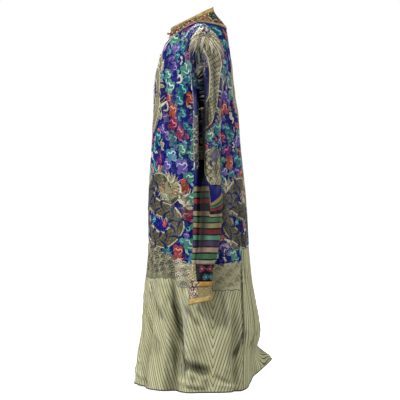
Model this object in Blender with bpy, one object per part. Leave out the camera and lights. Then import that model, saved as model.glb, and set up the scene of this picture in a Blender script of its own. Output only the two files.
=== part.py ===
"""A worn, hollow dragon robe of the jifu cut: two halves folded over the shoulders, an outer right
front that laps over to the wearer's right side, a neck band with gold edges, sleeves in four
sections that end in horse-hoof cuffs, and knotted toggles down the closing edge.

Metres, +Z up. The wearer faces -Y, so the wearer's left side is at +X. The origin is between the
shoulders, where the wearer holds the robe up.
"""

import math
from collections import namedtuple

import bmesh
import bpy
from mathutils import Vector

# Cloth
WALL = 0.0018
SEAM = 0.0003
NECK_SEAM = 0.0011
LYING_GAP = 0.0004
UNDERLAP_INSET = 0.0045

# Heights
HEM = -1.312
UNDERARM = -0.300
SLEEVE_HANG = -0.360
PLAIN_TOP = -0.516
STRIPE_TOP = -0.602
FLOWER_TOP = -0.872
CUFF_TOP = -0.930
CUFF_END = -1.002

# Body outline at each height: centre front, centre back and half the width at the side seam
Section = namedtuple("Section", "height front back half_width")
SECTIONS = (
    Section(-1.312, -0.237, 0.205, 0.298),
    Section(-1.240, -0.229, 0.203, 0.288),
    Section(-1.180, -0.220, 0.206, 0.282),
    Section(-1.118, -0.211, 0.219, 0.276),
    Section(-0.987, -0.200, 0.194, 0.260),
    Section(-0.835, -0.186, 0.177, 0.238),
    Section(-0.650, -0.185, 0.165, 0.217),
    Section(-0.465, -0.174, 0.146, 0.204),
    Section(-0.356, -0.168, 0.137, 0.200),
    Section(-0.300, -0.167, 0.129, 0.199),
)
SIDE_SEAM_Y = 0.044
SQUARENESS = 2.35

# Large folds of the skirt, troughs below zero: place round the half from centre front 0 to centre
# back 1, at the top and at the hem, height where the fold starts, depth at the hem, half width
Fold = namedtuple("Fold", "side place_top place_hem top depth half_width")
FOLDS = (
    Fold(1, 0.37, 0.35, -0.88, -0.030, 0.050),
    Fold(1, 0.43, 0.43, -0.95, 0.014, 0.040),
    Fold(1, 0.20, 0.17, -0.80, -0.014, 0.045),
    Fold(1, 0.11, 0.09, -0.98, 0.008, 0.030),
    Fold(1, 0.62, 0.65, -0.90, -0.014, 0.045),
    Fold(1, 0.72, 0.74, -0.95, 0.004, 0.040),
    Fold(1, 0.84, 0.83, -1.02, -0.004, 0.035),
    Fold(-1, 0.34, 0.31, -0.90, -0.022, 0.050),
    Fold(-1, 0.15, 0.14, -0.95, -0.012, 0.040),
    Fold(-1, 0.66, 0.69, -0.85, -0.024, 0.045),
    Fold(-1, 0.56, 0.57, -0.95, 0.012, 0.040),
    Fold(-1, 0.83, 0.84, -1.00, -0.014, 0.040),
)

# The left back corner of the vent stands out and up from the hem, the right one less
KICK_OUT = {1: 0.056, -1: 0.018}
KICK_LIFT = {1: 0.084, -1: 0.052}
KICK_SPREAD = 0.42
KICK_HEIGHT = 0.055
LIFT_SPREAD = 0.64
FRONT_LIFT = 0.010
FRONT_LIFT_SPREAD = 0.5
VENT_TOP = -0.900
VENT_OPEN = 0.007

# Neck: the outer line of the band lies round the shoulders, the neck edge stands above it
BAND_HALF_WIDTH = 0.092
BAND_FRONT_Y = -0.125
BAND_BACK_Y = 0.095
BAND_SIDE_Z = -0.020
BAND_FRONT_DROP = 0.071
BAND_BACK_DROP = 0.015
NECK_HALF_WIDTH = 0.062
NECK_FRONT_Y = -0.105
NECK_BACK_Y = 0.047
NECK_FRONT_Z = -0.030
NECK_BACK_Z = 0.047
NECK_SAG = 0.006
NECK_SHARE = 0.44
BINDING_START = 0.80
BINDING_WALL = 0.003
BINDING_PARTING = 0.004
PIPING_SHARE = 0.13
NECK_SLIT_TURN = 0.0012

# Shoulder tip, where the fold over the shoulder runs on into the sleeve
SHOULDER_X = 0.186
SHOULDER_Y = 0.014
SHOULDER_Z = -0.052

# Pulls, in metres, that shape the cloth from the underarm over the chest and the shoulder
SHOULDER_START_PULL = Vector((0.095, 0.010, -0.018))
SHOULDER_END_PULL = Vector((0.085, 0.006, -0.052))
TOP_PULL_CENTRE = {-1: Vector((0.0, 0.085, 0.195)), 1: Vector((0.0, -0.035, 0.235))}
TOP_PULL_SHOULDER = {-1: Vector((-0.030, 0.270, 0.085)), 1: Vector((-0.030, -0.250, 0.075))}
FOOT_PULL = 0.24
ARMHOLE_PULL_X = 0.05
ARMHOLE_PULL_Y = 0.23
ARMHOLE_PULL_Z = -0.02
ARMHOLE_PULL_FROM = 0.55

# Hanging sleeve: gap to the body's side, centre in Y, half sizes, and depth of the valley
SleeveRing = namedtuple("SleeveRing", "height centre_y half_x half_y valley")
SLEEVE_RINGS = (
    SleeveRing(-1.010, 0.001, 0.031, 0.040, 0.000),
    SleeveRing(-0.960, 0.001, 0.030, 0.038, 0.002),
    SleeveRing(-0.900, 0.006, 0.031, 0.037, 0.008),
    SleeveRing(-0.800, 0.021, 0.036, 0.045, 0.016),
    SleeveRing(-0.680, 0.027, 0.040, 0.049, 0.020),
    SleeveRing(-0.560, 0.025, 0.042, 0.046, 0.022),
    SleeveRing(-0.440, 0.024, 0.045, 0.045, 0.026),
    SleeveRing(-0.300, 0.024, 0.047, 0.045, 0.024),
)
SLEEVE_CLEARANCE = 0.017
VALLEY_PLACE = 0.43
VALLEY_HALF_WIDTH = 0.085
CUFF_SLANT = 0.010
CUFF_EDGE_SHARE = 0.25
CUFF_EDGE_WALL = 0.0010

# Closing edge of the outer right front, from the neck to the right underarm
EDGE_ACROSS_END = 0.97
EDGE_RISE_END = 1.05
EDGE_BAND_WIDTH = 0.052
BAND_SHARES = (0.18, 0.6, 1.0)
UPPER_COLUMN_LENGTH = 0.245
LOWER_COLUMN_LENGTH = UNDERARM - HEM

# Mesh steps
NECK_STEPS = 5
SHOULDER_STEPS = 8
LOWER_STEPS = 13
UPPER_FRONT_STEPS = 4
ARMHOLE_STEPS = 11
CAP_STEPS = 6

# Toggles: a knotted knob over the ends of a tab and a loop cord
KNOB_RADIUS = 0.0042
CORD_WIDTH = 0.0050
CORD_THICKNESS = 0.0018
CORD_GAP = 0.0009
CORD_STEPS = 4

# Toggles of the closing edge and of the right side, from the top
EDGE_TOGGLE_ACROSS = 0.34
SIDE_TOGGLE_RISES = (0.945, 0.84, 0.72)
SIDE_TAB_END = 0.83
SIDE_LOOP_END = 0.88
EDGE_CORD_LENGTH = 0.033
NECK_TOGGLE_SHARE = 0.66
NECK_CORD_TURN = 0.13
NECK_CORD_LIFT = 0.0003

# Colours
NAVY = (0.055, 0.060, 0.190)
BAND_DARK = (0.080, 0.070, 0.110)
GOLD = (0.480, 0.370, 0.140)
STRIPED = (0.120, 0.170, 0.180)
BLACK = (0.020, 0.020, 0.030)


def clear_scene():
    """Remove the objects that a new scene starts with."""
    for thing in list(bpy.data.objects):
        bpy.data.objects.remove(thing)


def cloth_material(name, colour, roughness=0.5, metallic=0.0):
    """Plain Principled material for one kind of cloth or metal."""
    material = bpy.data.materials.new(name)
    material.use_nodes = True
    shader = material.node_tree.nodes["Principled BSDF"]
    shader.inputs["Base Color"].default_value = (*colour, 1.0)
    shader.inputs["Roughness"].default_value = roughness
    shader.inputs["Metallic"].default_value = metallic
    return material


def smooth(value):
    """Ease from 0 to 1, flat outside."""
    value = min(1.0, max(0.0, value))
    return value * value * (3.0 - 2.0 * value)


def bump(offset, half_width):
    """Soft hump of height 1 that ends at half_width on both sides."""
    if abs(offset) >= half_width:
        return 0.0
    return math.cos(0.5 * math.pi * offset / half_width) ** 2


def along(table, name, height):
    """Smooth value of one column of a table, its rows ordered by height."""
    rows = sorted(table, key=lambda row: row.height)
    heights = [row.height for row in rows]
    values = [getattr(row, name) for row in rows]
    if height <= heights[0]:
        return values[0]
    if height >= heights[-1]:
        return values[-1]
    low = max(i for i in range(len(rows) - 1) if heights[i] <= height)
    slopes = []
    for i in (low, low + 1):
        before = max(0, i - 1)
        after = min(len(rows) - 1, i + 1)
        slopes.append((values[after] - values[before]) / (heights[after] - heights[before]))
    span = heights[low + 1] - heights[low]
    t = (height - heights[low]) / span
    return (
        values[low] * (1 + 2 * t) * (1 - t) ** 2
        + slopes[0] * span * t * (1 - t) ** 2
        + values[low + 1] * t * t * (3 - 2 * t)
        - slopes[1] * span * t * t * (1 - t)
    )


def hermite(start, end, start_pull, end_pull, t):
    """Point of a cubic between two points with given end tangents."""
    return (
        start * ((1 + 2 * t) * (1 - t) ** 2)
        + start_pull * (t * (1 - t) ** 2)
        + end * (t * t * (3 - 2 * t))
        - end_pull * (t * t * (1 - t))
    )


def fold_depth(side, turn, height):
    """How far the skirt's folds push the cloth out at a place round a half."""
    push = 0.0
    for fold in FOLDS:
        if fold.side != side:
            continue
        fall = (fold.top - height) / (fold.top - HEM)
        if fall <= 0.0:
            continue
        place = fold.place_top + (fold.place_hem - fold.place_top) * min(1.0, fall)
        push += fold.depth * smooth(fall * 1.3) * bump(turn - place, fold.half_width)
    return push


def hem_height(side, face, across):
    """Height of the hem edge, which rises to the vents at centre front and centre back."""
    if face < 0:
        return HEM + FRONT_LIFT * smooth(1.0 - across / FRONT_LIFT_SPREAD)
    return HEM + KICK_LIFT[side] * smooth(1.0 - across / LIFT_SPREAD)


def ring_point(side, face, across, height):
    """Point of the body below the underarm. face is -1 for front, 1 for back, across runs from
    the centre line 0 to the side seam 1."""
    angle = 0.5 * math.pi * across
    edge_y = along(SECTIONS, "front" if face < 0 else "back", height)
    half_width = along(SECTIONS, "half_width", height)
    power = 2.0 / SQUARENESS
    x = half_width * math.sin(angle) ** power if across > 0.0 else 0.0
    y = SIDE_SEAM_Y + (edge_y - SIDE_SEAM_Y) * max(0.0, math.cos(angle)) ** power
    turn = 0.5 * across if face < 0 else 1.0 - 0.5 * across
    out = Vector((x / half_width**2, (y - SIDE_SEAM_Y) / (edge_y - SIDE_SEAM_Y) ** 2, 0.0)).normalized()
    point = Vector((x, y, height)) + out * fold_depth(side, turn, height)
    above_hem = height - hem_height(side, face, across)
    if face > 0:
        kick = smooth(1.0 - across / KICK_SPREAD) * smooth(1.0 - above_hem / KICK_HEIGHT)
        point.y += KICK_OUT[side] * kick
    open_vent = smooth((VENT_TOP - height) / (VENT_TOP - HEM)) * (1.0 - smooth(across / 0.2))
    point.x += VENT_OPEN * open_vent
    return point


def band_line(face, share):
    """Outer line of the neck band, share 0 at the centre line and 1 on the shoulder."""
    angle = 0.5 * math.pi * share
    fall = max(0.0, math.cos(angle))
    centre_y = BAND_FRONT_Y if face < 0 else BAND_BACK_Y
    drop = BAND_FRONT_DROP if face < 0 else BAND_BACK_DROP
    return Vector((BAND_HALF_WIDTH * math.sin(angle), centre_y * fall, BAND_SIDE_Z - drop * fall**1.5))


def neck_line(face, share):
    """Neck edge, share 0 at the centre line and 1 at the side of the neck."""
    angle = 0.5 * math.pi * share
    if face > 0:
        angle = math.pi - angle
    half_length = 0.5 * (NECK_BACK_Y - NECK_FRONT_Y)
    y = 0.5 * (NECK_BACK_Y + NECK_FRONT_Y) - half_length * math.cos(angle)
    share_back = (y - NECK_FRONT_Y) / (2.0 * half_length)
    z = NECK_FRONT_Z + (NECK_BACK_Z - NECK_FRONT_Z) * share_back
    z -= NECK_SAG * math.sin(math.pi * share_back)
    return Vector((NECK_HALF_WIDTH * math.sin(angle), y, z))


def top_point(face, across):
    """Top edge of a half: the band's outer line, then the fold over the shoulder."""
    if across <= NECK_SHARE:
        return band_line(face, across / NECK_SHARE)
    run = (across - NECK_SHARE) / (1.0 - NECK_SHARE)
    start = band_line(face, 1.0)
    end = Vector((SHOULDER_X, SHOULDER_Y, SHOULDER_Z))
    return hermite(start, end, SHOULDER_START_PULL, SHOULDER_END_PULL, run)


def top_pull(face, across):
    """Direction in which the cloth reaches its top edge."""
    return TOP_PULL_CENTRE[face].lerp(TOP_PULL_SHOULDER[face], smooth(across / NECK_SHARE))


def half_point(side, face, across, rise):
    """Middle of the wall of a half, on the left side. rise is 0 at the hem, 1 at the underarm
    and 2 at the neck band or the shoulder fold."""
    if rise <= 1.0:
        hem = hem_height(side, face, across)
        return ring_point(side, face, across, hem + (UNDERARM - hem) * rise)
    foot = ring_point(side, face, across, UNDERARM)
    drop = 0.03
    below = ring_point(side, face, across, UNDERARM - drop)
    to_arm = smooth((across - ARMHOLE_PULL_FROM) / (1.0 - ARMHOLE_PULL_FROM))
    foot_pull = (foot - below) * (FOOT_PULL / drop)
    foot_pull += Vector((ARMHOLE_PULL_X, ARMHOLE_PULL_Y * face, ARMHOLE_PULL_Z)) * to_arm
    return hermite(foot, top_point(face, across), foot_pull, top_pull(face, across), rise - 1.0)


def edge_rise(across):
    """Rise of the closing edge over the right front: an S from the neck to the underarm."""
    run = min(1.0, across / EDGE_ACROSS_END)
    return EDGE_RISE_END + (2.0 - EDGE_RISE_END) * 0.5 * (1.0 + math.cos(math.pi * run**0.85))


def lowered(rise, distance):
    """Rise that lies a distance further down a column of the front."""
    above = (rise - 1.0) * UPPER_COLUMN_LENGTH
    if distance <= above:
        return rise - distance / UPPER_COLUMN_LENGTH
    return 1.0 - (distance - above) / LOWER_COLUMN_LENGTH


def underlap(face, across, rise):
    """How far the right half lies inside the outer front that laps over it."""
    if face < 0:
        return UNDERLAP_INSET * smooth((edge_rise(across) + 0.13 - rise) / 0.12)
    beyond = smooth((1.0 - across) / 0.12)
    return UNDERLAP_INSET * (1.0 - beyond) * smooth((1.12 - rise) / 0.11)


def right_half_point(face, across, rise):
    """Middle of the right half's wall, set in where the outer front laps over it."""
    point = half_point(-1, face, across, rise)
    inset = underlap(face, across, rise)
    if inset <= 0.0:
        return point

    def whole(u, v):
        return half_point(-1, face, u, 2.0 * v)

    normal = normal_of(whole, across, 0.5 * rise, point - body_axis(point))
    normal = normal.lerp(Vector((1.0, 0.0, 0.0)), smooth((across - 0.9) / 0.1))
    return point - normal * inset


def sleeve_section(turn, height):
    """Hanging sleeve on the left: turn 0 on the inner side, then front, outer side and back."""
    angle = 2.0 * math.pi * turn
    half_x = along(SLEEVE_RINGS, "half_x", height)
    half_y = along(SLEEVE_RINGS, "half_y", height)
    centre_y = along(SLEEVE_RINGS, "centre_y", height)
    centre_x = along(SECTIONS, "half_width", height) + SLEEVE_CLEARANCE + half_x
    power = 2.0 / 2.6
    cosine = math.cos(angle)
    sine = math.sin(angle)
    x = centre_x - half_x * math.copysign(abs(cosine) ** power, cosine)
    y = centre_y - half_y * math.copysign(abs(sine) ** power, sine)
    valley = along(SLEEVE_RINGS, "valley", height) * bump(turn - VALLEY_PLACE, VALLEY_HALF_WIDTH)
    return Vector((x - valley, y, height))


def armhole_point(side, turn):
    """Armhole loop, turn 0 at the underarm, 0.5 on the shoulder tip."""
    if turn <= 0.5:
        return half_point(side, -1, 1.0, 1.0 + 2.0 * turn)
    return half_point(side, 1, 1.0, 1.0 + 2.0 * (1.0 - turn))


def cap_point(side, turn, run):
    """Upper sleeve from the armhole, run 0, to where it hangs straight, run 1."""
    start = armhole_point(side, turn)
    end = sleeve_section(turn, SLEEVE_HANG)
    reach = (end - start).length
    outer = bump(turn - 0.5, 0.5)
    start_pull = Vector((0.62 + 0.38 * outer, 0.0, -0.80 + 0.45 * outer)).normalized() * reach
    end_pull = Vector((0.0, 0.0, -1.0)) * reach
    return hermite(start, end, start_pull, end_pull, run)


def cuff_point(turn, height):
    """Cuff, whose lower edge slants down to the front."""
    share = (CUFF_TOP - height) / (CUFF_TOP - CUFF_END)
    point = sleeve_section(turn, height)
    point.z -= CUFF_SLANT * share * math.sin(2.0 * math.pi * turn)
    return point


def collar_point(turn, share):
    """Neck band, turn 0 at centre front to 1 at centre back, share 0 outer line to 1 neck edge."""
    face = -1 if turn <= 0.5 else 1
    run = 2.0 * turn if face < 0 else 2.0 * (1.0 - turn)
    start = band_line(face, run)
    end = neck_line(face, run)
    reach = (end - start).length
    start_pull = top_pull(face, run * NECK_SHARE).normalized() * reach
    end_pull = Vector((0.0, 0.0, 1.0)) * reach
    parted = NECK_SEAM / reach
    return hermite(start, end, start_pull, end_pull, parted + (1.0 - parted) * share)


def mirrored(side, point):
    """Put a point of the left side on its own side, half a seam off the centre line."""
    return Vector((side * (point.x + 0.5 * SEAM), point.y, point.z))


def normal_of(function, u, v, outward):
    """Unit normal of a surface function, pointing the same way as the outward hint."""
    step = 0.004
    across = function(min(1.0, u + step), v) - function(max(0.0, u - step), v)
    upward = function(u, min(1.0, v + step)) - function(u, max(0.0, v - step))
    normal = across.cross(upward)
    if normal.length < 1e-12:
        normal = outward.copy()
    normal.normalize()
    if normal.dot(outward) < 0.0:
        normal.negate()
    return normal


Patch = namedtuple("Patch", "function u_values v_values centre edge_normal", defaults=[None])


def steps(count, start=0.0, end=1.0):
    """Evenly spaced values, both ends included."""
    return [start + (end - start) * i / count for i in range(count + 1)]


def add_patch(mesh, patch, raise_by):
    """Lay a grid on a surface function, moved out by raise_by, and note the wall direction."""
    normals = mesh.verts.layers.float_vector.get("wall") or mesh.verts.layers.float_vector.new("wall")
    u_count = len(patch.u_values) - 1
    v_count = len(patch.v_values) - 1
    made = bmesh.ops.create_grid(mesh, x_segments=u_count, y_segments=v_count, size=1.0)
    for vertex in made["verts"]:
        column = round((vertex.co.x + 1.0) * 0.5 * u_count)
        row = round((vertex.co.y + 1.0) * 0.5 * v_count)
        u = patch.u_values[column]
        v = patch.v_values[row]
        point = patch.function(u, v)
        normal = patch.edge_normal(u, v) if patch.edge_normal else None
        if normal is None:
            normal = normal_of(patch.function, u, v, point - patch.centre(point))
        vertex[normals] = normal
        vertex.co = point + normal * raise_by


def cloth_piece(name, patches, material, side=1, wall=WALL, raise_by=0.0, flatten_centre=False):
    """Closed wall of cloth over one or more patches that share their edges."""
    mesh = bmesh.new()
    for patch in patches:
        add_patch(mesh, patch, raise_by)
    bmesh.ops.remove_doubles(mesh, verts=mesh.verts[:], dist=2e-5)
    bmesh.ops.recalc_face_normals(mesh, faces=mesh.faces[:])
    mesh.normal_update()
    normals = mesh.verts.layers.float_vector["wall"]
    for vertex in mesh.verts:
        if not vertex.is_boundary:
            agrees = vertex.normal.dot(vertex[normals]) >= 0.0
            vertex[normals] = vertex.normal if agrees else -vertex.normal
        elif flatten_centre and abs(vertex.co.x) < 0.012:
            flat = Vector(vertex[normals])
            flat.x = 0.0
            vertex[normals] = flat.normalized()
    outer = mesh.verts[:]
    extruded = bmesh.ops.extrude_face_region(mesh, geom=mesh.faces[:], use_keep_orig=True)
    inner = [item for item in extruded["geom"] if isinstance(item, bmesh.types.BMVert)]
    for vertex in inner:
        vertex.co -= Vector(vertex[normals]) * (0.5 * wall)
    for vertex in outer:
        vertex.co += Vector(vertex[normals]) * (0.5 * wall)
    for vertex in mesh.verts:
        vertex.co = mirrored(side, vertex.co)
    bmesh.ops.triangulate(mesh, faces=mesh.faces[:])
    bmesh.ops.recalc_face_normals(mesh, faces=mesh.faces[:])
    return add_object(name, mesh, material)


def add_object(name, mesh, material):
    """Turn a bmesh into a named object with its material."""
    data = bpy.data.meshes.new(name)
    mesh.to_mesh(data)
    mesh.free()
    data.materials.append(material)
    data.shade_smooth()
    thing = bpy.data.objects.new(name, data)
    bpy.context.scene.collection.objects.link(thing)
    return thing


def body_axis(point):
    """Middle of the body beside a point, which tells the outer side from the inner one."""
    return Vector((0.0, 0.02, min(point.z - 0.02, -0.12)))


def sleeve_axis(point):
    """Middle of the hanging sleeve beside a point."""
    height = min(point.z, -0.20)
    centre_x = along(SECTIONS, "half_width", height) + SLEEVE_CLEARANCE
    centre_x += along(SLEEVE_RINGS, "half_x", height)
    return Vector((centre_x - 0.012, along(SLEEVE_RINGS, "centre_y", height), point.z - 0.01))


def across_steps():
    """Columns of a front or back, which meet the neck band's own columns."""
    return steps(NECK_STEPS, 0.0, NECK_SHARE) + steps(SHOULDER_STEPS, NECK_SHARE, 1.0)[1:]


def make_half(side, material):
    """One half: front, back and upper sleeve in one cloth over the shoulder."""

    def surface(face, low):
        def function(across, v):
            rise = v if low else 1.0 + v
            if side > 0:
                return half_point(side, face, across, rise)
            return right_half_point(face, across, rise)

        return function

    def neck_normal(face):
        def function(across, v):
            if v < 1.0 or across > NECK_SHARE + 1e-6:
                return None
            run = min(1.0, across / NECK_SHARE)
            turn = 0.5 * run if face < 0 else 1.0 - 0.5 * run
            point = collar_point(turn, 0.0)
            return normal_of(collar_point, turn, 0.0, point - neck_axis(point))

        return function

    def cap(turn, v):
        return cap_point(side, turn, v)

    def hanging(turn, v):
        height = SLEEVE_HANG + (PLAIN_TOP + 0.5 * SEAM - SLEEVE_HANG) * v
        return sleeve_section(turn, height)

    across_values = across_steps()
    turn_values = steps(2 * ARMHOLE_STEPS)
    patches = []
    for face in (-1, 1):
        patches.append(Patch(surface(face, True), across_values, steps(LOWER_STEPS), body_axis))
        rows = steps(ARMHOLE_STEPS)
        patches.append(Patch(surface(face, False), across_values, rows, body_axis, neck_normal(face)))
    patches.append(Patch(cap, turn_values, steps(CAP_STEPS), sleeve_axis))
    patches.append(Patch(hanging, turn_values, steps(3), sleeve_axis))
    name = "left_half" if side > 0 else "right_half"
    cloth_piece(name, patches, material, side=side, flatten_centre=True)


def outer_front_point(across, row):
    """Outer right front: whole rows are those of the halves up to the last one under the arm,
    then the cloth runs up to the closing band's lower edge and on to the closing edge."""
    below = LOWER_STEPS - 1
    if row <= below:
        rise = row / LOWER_STEPS
    elif row <= below + UPPER_FRONT_STEPS:
        start = below / LOWER_STEPS
        share = (row - below) / UPPER_FRONT_STEPS
        rise = start + (lowered(edge_rise(across), EDGE_BAND_WIDTH) - start) * share
    else:
        share = row - below - UPPER_FRONT_STEPS
        rise = lowered(edge_rise(across), EDGE_BAND_WIDTH * (1.0 - share))
    return half_point(-1, -1, across, rise)


def make_outer_front(material):
    """Outer right front, from the centre-front seam to the wearer's right side, and the columns
    and rows that its band lies on."""
    rows_below = LOWER_STEPS - 1 + UPPER_FRONT_STEPS
    whole = rows_below + 1.0

    def function(across, v):
        return outer_front_point(across, v * whole)

    columns = [across for across in across_steps() if across < EDGE_ACROSS_END] + [EDGE_ACROSS_END]
    band_rows = [(rows_below + share) / whole for share in (0.0, *BAND_SHARES)]
    rows = [row / whole for row in range(rows_below)] + band_rows
    patch = Patch(function, columns, rows, body_axis)
    cloth_piece("outer_right_front", [patch], material, side=-1, flatten_centre=True)
    return function, columns, band_rows


def make_closing_band(front, columns, rows, band_material, gold_material):
    """Band and gold piping that lie along the closing edge of the outer front."""
    raise_band = WALL + LYING_GAP
    for name, material, chosen_rows, layers in (
        ("closing_band", band_material, rows, 1),
        ("closing_piping", gold_material, rows[:2], 2),
    ):
        patch = Patch(front, columns, chosen_rows, body_axis)
        cloth_piece(name, [patch], material, -1, raise_by=layers * raise_band, flatten_centre=True)


def sleeve_piece(name, side, top, bottom, rows, material, function=sleeve_section):
    """One sewn-on section of a sleeve, half a seam short at each end."""
    start = top - 0.5 * SEAM
    end = bottom + 0.5 * SEAM

    def surface(turn, v):
        return function(turn, start + (end - start) * v)

    patch = Patch(surface, steps(2 * ARMHOLE_STEPS), steps(rows), sleeve_axis)
    cloth_piece(name, [patch], material, side=side)


def make_sleeve(side, plain, striped, flowered, gold):
    """Plain section, striped section, flower band, horse-hoof cuff and its two gold edges."""
    word = "left" if side > 0 else "right"
    sleeve_piece(word + "_plain_sleeve", side, PLAIN_TOP, STRIPE_TOP, 2, plain)
    sleeve_piece(word + "_striped_sleeve", side, STRIPE_TOP, FLOWER_TOP, 4, striped)
    sleeve_piece(word + "_flower_band", side, FLOWER_TOP, CUFF_TOP, 1, flowered)
    sleeve_piece(word + "_cuff", side, CUFF_TOP, CUFF_END, 4, gold, cuff_point)
    height = CUFF_TOP - CUFF_END
    raise_by = 0.5 * (WALL + CUFF_EDGE_WALL) + LYING_GAP
    for label, low in (("top", 0.0), ("end", 1.0 - CUFF_EDGE_SHARE)):

        def surface(turn, v, low=low):
            share = low + CUFF_EDGE_SHARE * v
            return cuff_point(turn, CUFF_TOP - SEAM - (height - 2 * SEAM) * share)

        patch = Patch(surface, steps(2 * ARMHOLE_STEPS), [0.0, 1.0], sleeve_axis)
        name = f"{word}_cuff_{label}_edge"
        cloth_piece(name, [patch], gold, side=side, wall=CUFF_EDGE_WALL, raise_by=raise_by)


def collar_surface(turn, share):
    """The neck band all round, turn 0 and 1 at centre front, on both sides."""
    if turn <= 0.5:
        return collar_point(2.0 * turn, share)
    point = collar_point(2.0 * (1.0 - turn), share)
    return Vector((-point.x, point.y, point.z))


def neck_axis(point):
    """Middle of the neck beside a point."""
    return Vector((0.0, -0.01, point.z - 0.06))


def make_neck(band_material, gold_material):
    """Band, gold binding on the neck edge and gold piping on the band's outer line."""
    turns = steps(4 * NECK_STEPS)
    turns[0] = NECK_SLIT_TURN
    turns[-1] = 1.0 - NECK_SLIT_TURN
    rows = [0.0, PIPING_SHARE, 0.4, 0.62, BINDING_START - BINDING_PARTING]
    band = Patch(collar_surface, turns, rows, neck_axis)
    cloth_piece("neck_band", [band], band_material)
    binding = Patch(collar_surface, turns, [BINDING_START, 0.9, 1.0], neck_axis)
    cloth_piece("neck_binding", [binding], gold_material, wall=BINDING_WALL)
    piping = Patch(collar_surface, turns, [0.0, PIPING_SHARE], neck_axis)
    cloth_piece("neck_piping", [piping], gold_material, raise_by=WALL + LYING_GAP)


def cord(name, path, axis, side, stack, material):
    """Flat silk cord on the cloth: path gives its middle line, stack is the height of the cloth
    layers under it above the middle of the lowest wall."""

    def strip(run, v):
        point = path(run)
        tangent = path(min(1.0, run + 0.02)) - path(max(0.0, run - 0.02))
        sideways = tangent.cross(point - axis(point)).normalized()
        return point + sideways * (CORD_WIDTH * (v - 0.5))

    patch = Patch(strip, steps(CORD_STEPS), [0.0, 1.0], axis)
    raise_by = stack + CORD_GAP + 0.5 * CORD_THICKNESS
    cloth_piece(name, [patch], material, side, wall=CORD_THICKNESS, raise_by=raise_by)


def knob(name, point, outward, side, stack, material):
    """Knotted ball of a toggle, over the ends of its two cords."""
    mesh = bmesh.new()
    bmesh.ops.create_uvsphere(mesh, u_segments=10, v_segments=6, radius=KNOB_RADIUS)
    centre = point + outward.normalized() * (stack + CORD_GAP + CORD_THICKNESS + SEAM + KNOB_RADIUS)
    centre = mirrored(side, centre)
    bmesh.ops.translate(mesh, verts=mesh.verts[:], vec=centre)
    bmesh.ops.triangulate(mesh, faces=mesh.faces[:])
    add_object(name, mesh, material)


def outward_at(function, axis):
    """Outward direction of a surface function of two values at its middle."""
    point = function(0.5, 0.5)
    return normal_of(function, 0.5, 0.5, point - axis(point))


def make_side_toggle(number, rise, material):
    """Toggle on the wearer's right side, its cords lying round the body."""
    name = f"toggle_{number}_"
    ahead = EDGE_ACROSS_END - 0.012

    def tab(run):
        return half_point(-1, -1, ahead + (SIDE_TAB_END - ahead) * run, rise)

    def loop(run):
        return right_half_point(1, 0.985 + (SIDE_LOOP_END - 0.985) * run, rise)

    def near(u, v):
        return half_point(-1, -1, ahead + 0.01 * (u - 0.5), rise + 0.01 * (v - 0.5))

    cord(name + "tab", tab, body_axis, -1, 0.5 * WALL, material)
    cord(name + "loop", loop, body_axis, -1, 0.5 * WALL, material)
    knob(name + "knob", near(0.5, 0.5), outward_at(near, body_axis), -1, 0.5 * WALL, material)


def make_edge_toggle(number, across, material):
    """Toggle on the closing edge at the collarbone, its cords lying down the front."""
    name = f"toggle_{number}_"
    edge = edge_rise(across)
    on_band = 1.5 * WALL

    def tab(run):
        return half_point(-1, -1, across, lowered(edge, 0.003 + EDGE_CORD_LENGTH * run))

    def loop(run):
        reach = (0.004 + 0.75 * EDGE_CORD_LENGTH * run) / UPPER_COLUMN_LENGTH
        return right_half_point(-1, across, edge + reach)

    def near(u, v):
        return half_point(-1, -1, across + 0.01 * (u - 0.5), lowered(edge, 0.006) + 0.01 * (v - 0.5))

    cord(name + "tab", tab, body_axis, -1, on_band, material)
    cord(name + "loop", loop, body_axis, -1, 0.5 * WALL, material)
    knob(name + "knob", near(0.5, 0.5), outward_at(near, body_axis), -1, on_band, material)


def make_neck_toggle(number, material):
    """Toggle that closes the neck band at centre front."""
    name = f"toggle_{number}_"

    def reach(run):
        return collar_point(0.018 + NECK_CORD_TURN * run, NECK_TOGGLE_SHARE)

    def near(u, v):
        return collar_point(0.012 + 0.01 * u, NECK_TOGGLE_SHARE + 0.02 * (v - 0.5))

    stack = 0.5 * WALL + NECK_CORD_LIFT
    cord(name + "loop", reach, neck_axis, 1, stack, material)
    cord(name + "tab", reach, neck_axis, -1, stack, material)
    knob(name + "knob", near(0.5, 0.5), outward_at(near, neck_axis), -1, stack, material)


def make_toggles(material):
    """All the toggles of the closing, from the neck to the right side."""
    make_neck_toggle(1, material)
    make_edge_toggle(2, EDGE_TOGGLE_ACROSS, material)
    for number, rise in enumerate(SIDE_TOGGLE_RISES, start=3):
        make_side_toggle(number, rise, material)


def build():
    """Make every piece of the robe."""
    clear_scene()
    ground = cloth_material("ground_silk", NAVY, 0.42)
    dark_band = cloth_material("band_silk", BAND_DARK, 0.45)
    gold = cloth_material("gold_thread", GOLD, 0.38, 0.35)
    striped = cloth_material("striped_silk", STRIPED, 0.45)
    black = cloth_material("black_silk", BLACK, 0.5)
    cord_silk = cloth_material("cord_silk", BAND_DARK, 0.45)
    make_half(1, ground)
    make_half(-1, ground)
    front, columns, rows = make_outer_front(ground)
    make_closing_band(front, columns, rows, dark_band, gold)
    make_neck(dark_band, gold)
    for side in (1, -1):
        make_sleeve(side, ground, striped, black, gold)
    make_toggles(cord_silk)


build()
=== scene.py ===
# %% [markdown]
# A worn dragon robe, dressed in cloth.
# The CAD model gives the plain walls of the robe: two halves that fold over the shoulders, an
# outer right front, a neck band and sleeves in four sections. This lesson replaces each wall with
# a finer cloth on the same curves, creases it, weaves its colours in shader nodes and lays
# the embroidery on it. The first cell loads the CAD model as a frame that never moves.

# %% Load the frame
import math
import random
from collections import namedtuple
from functools import lru_cache, partial

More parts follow.
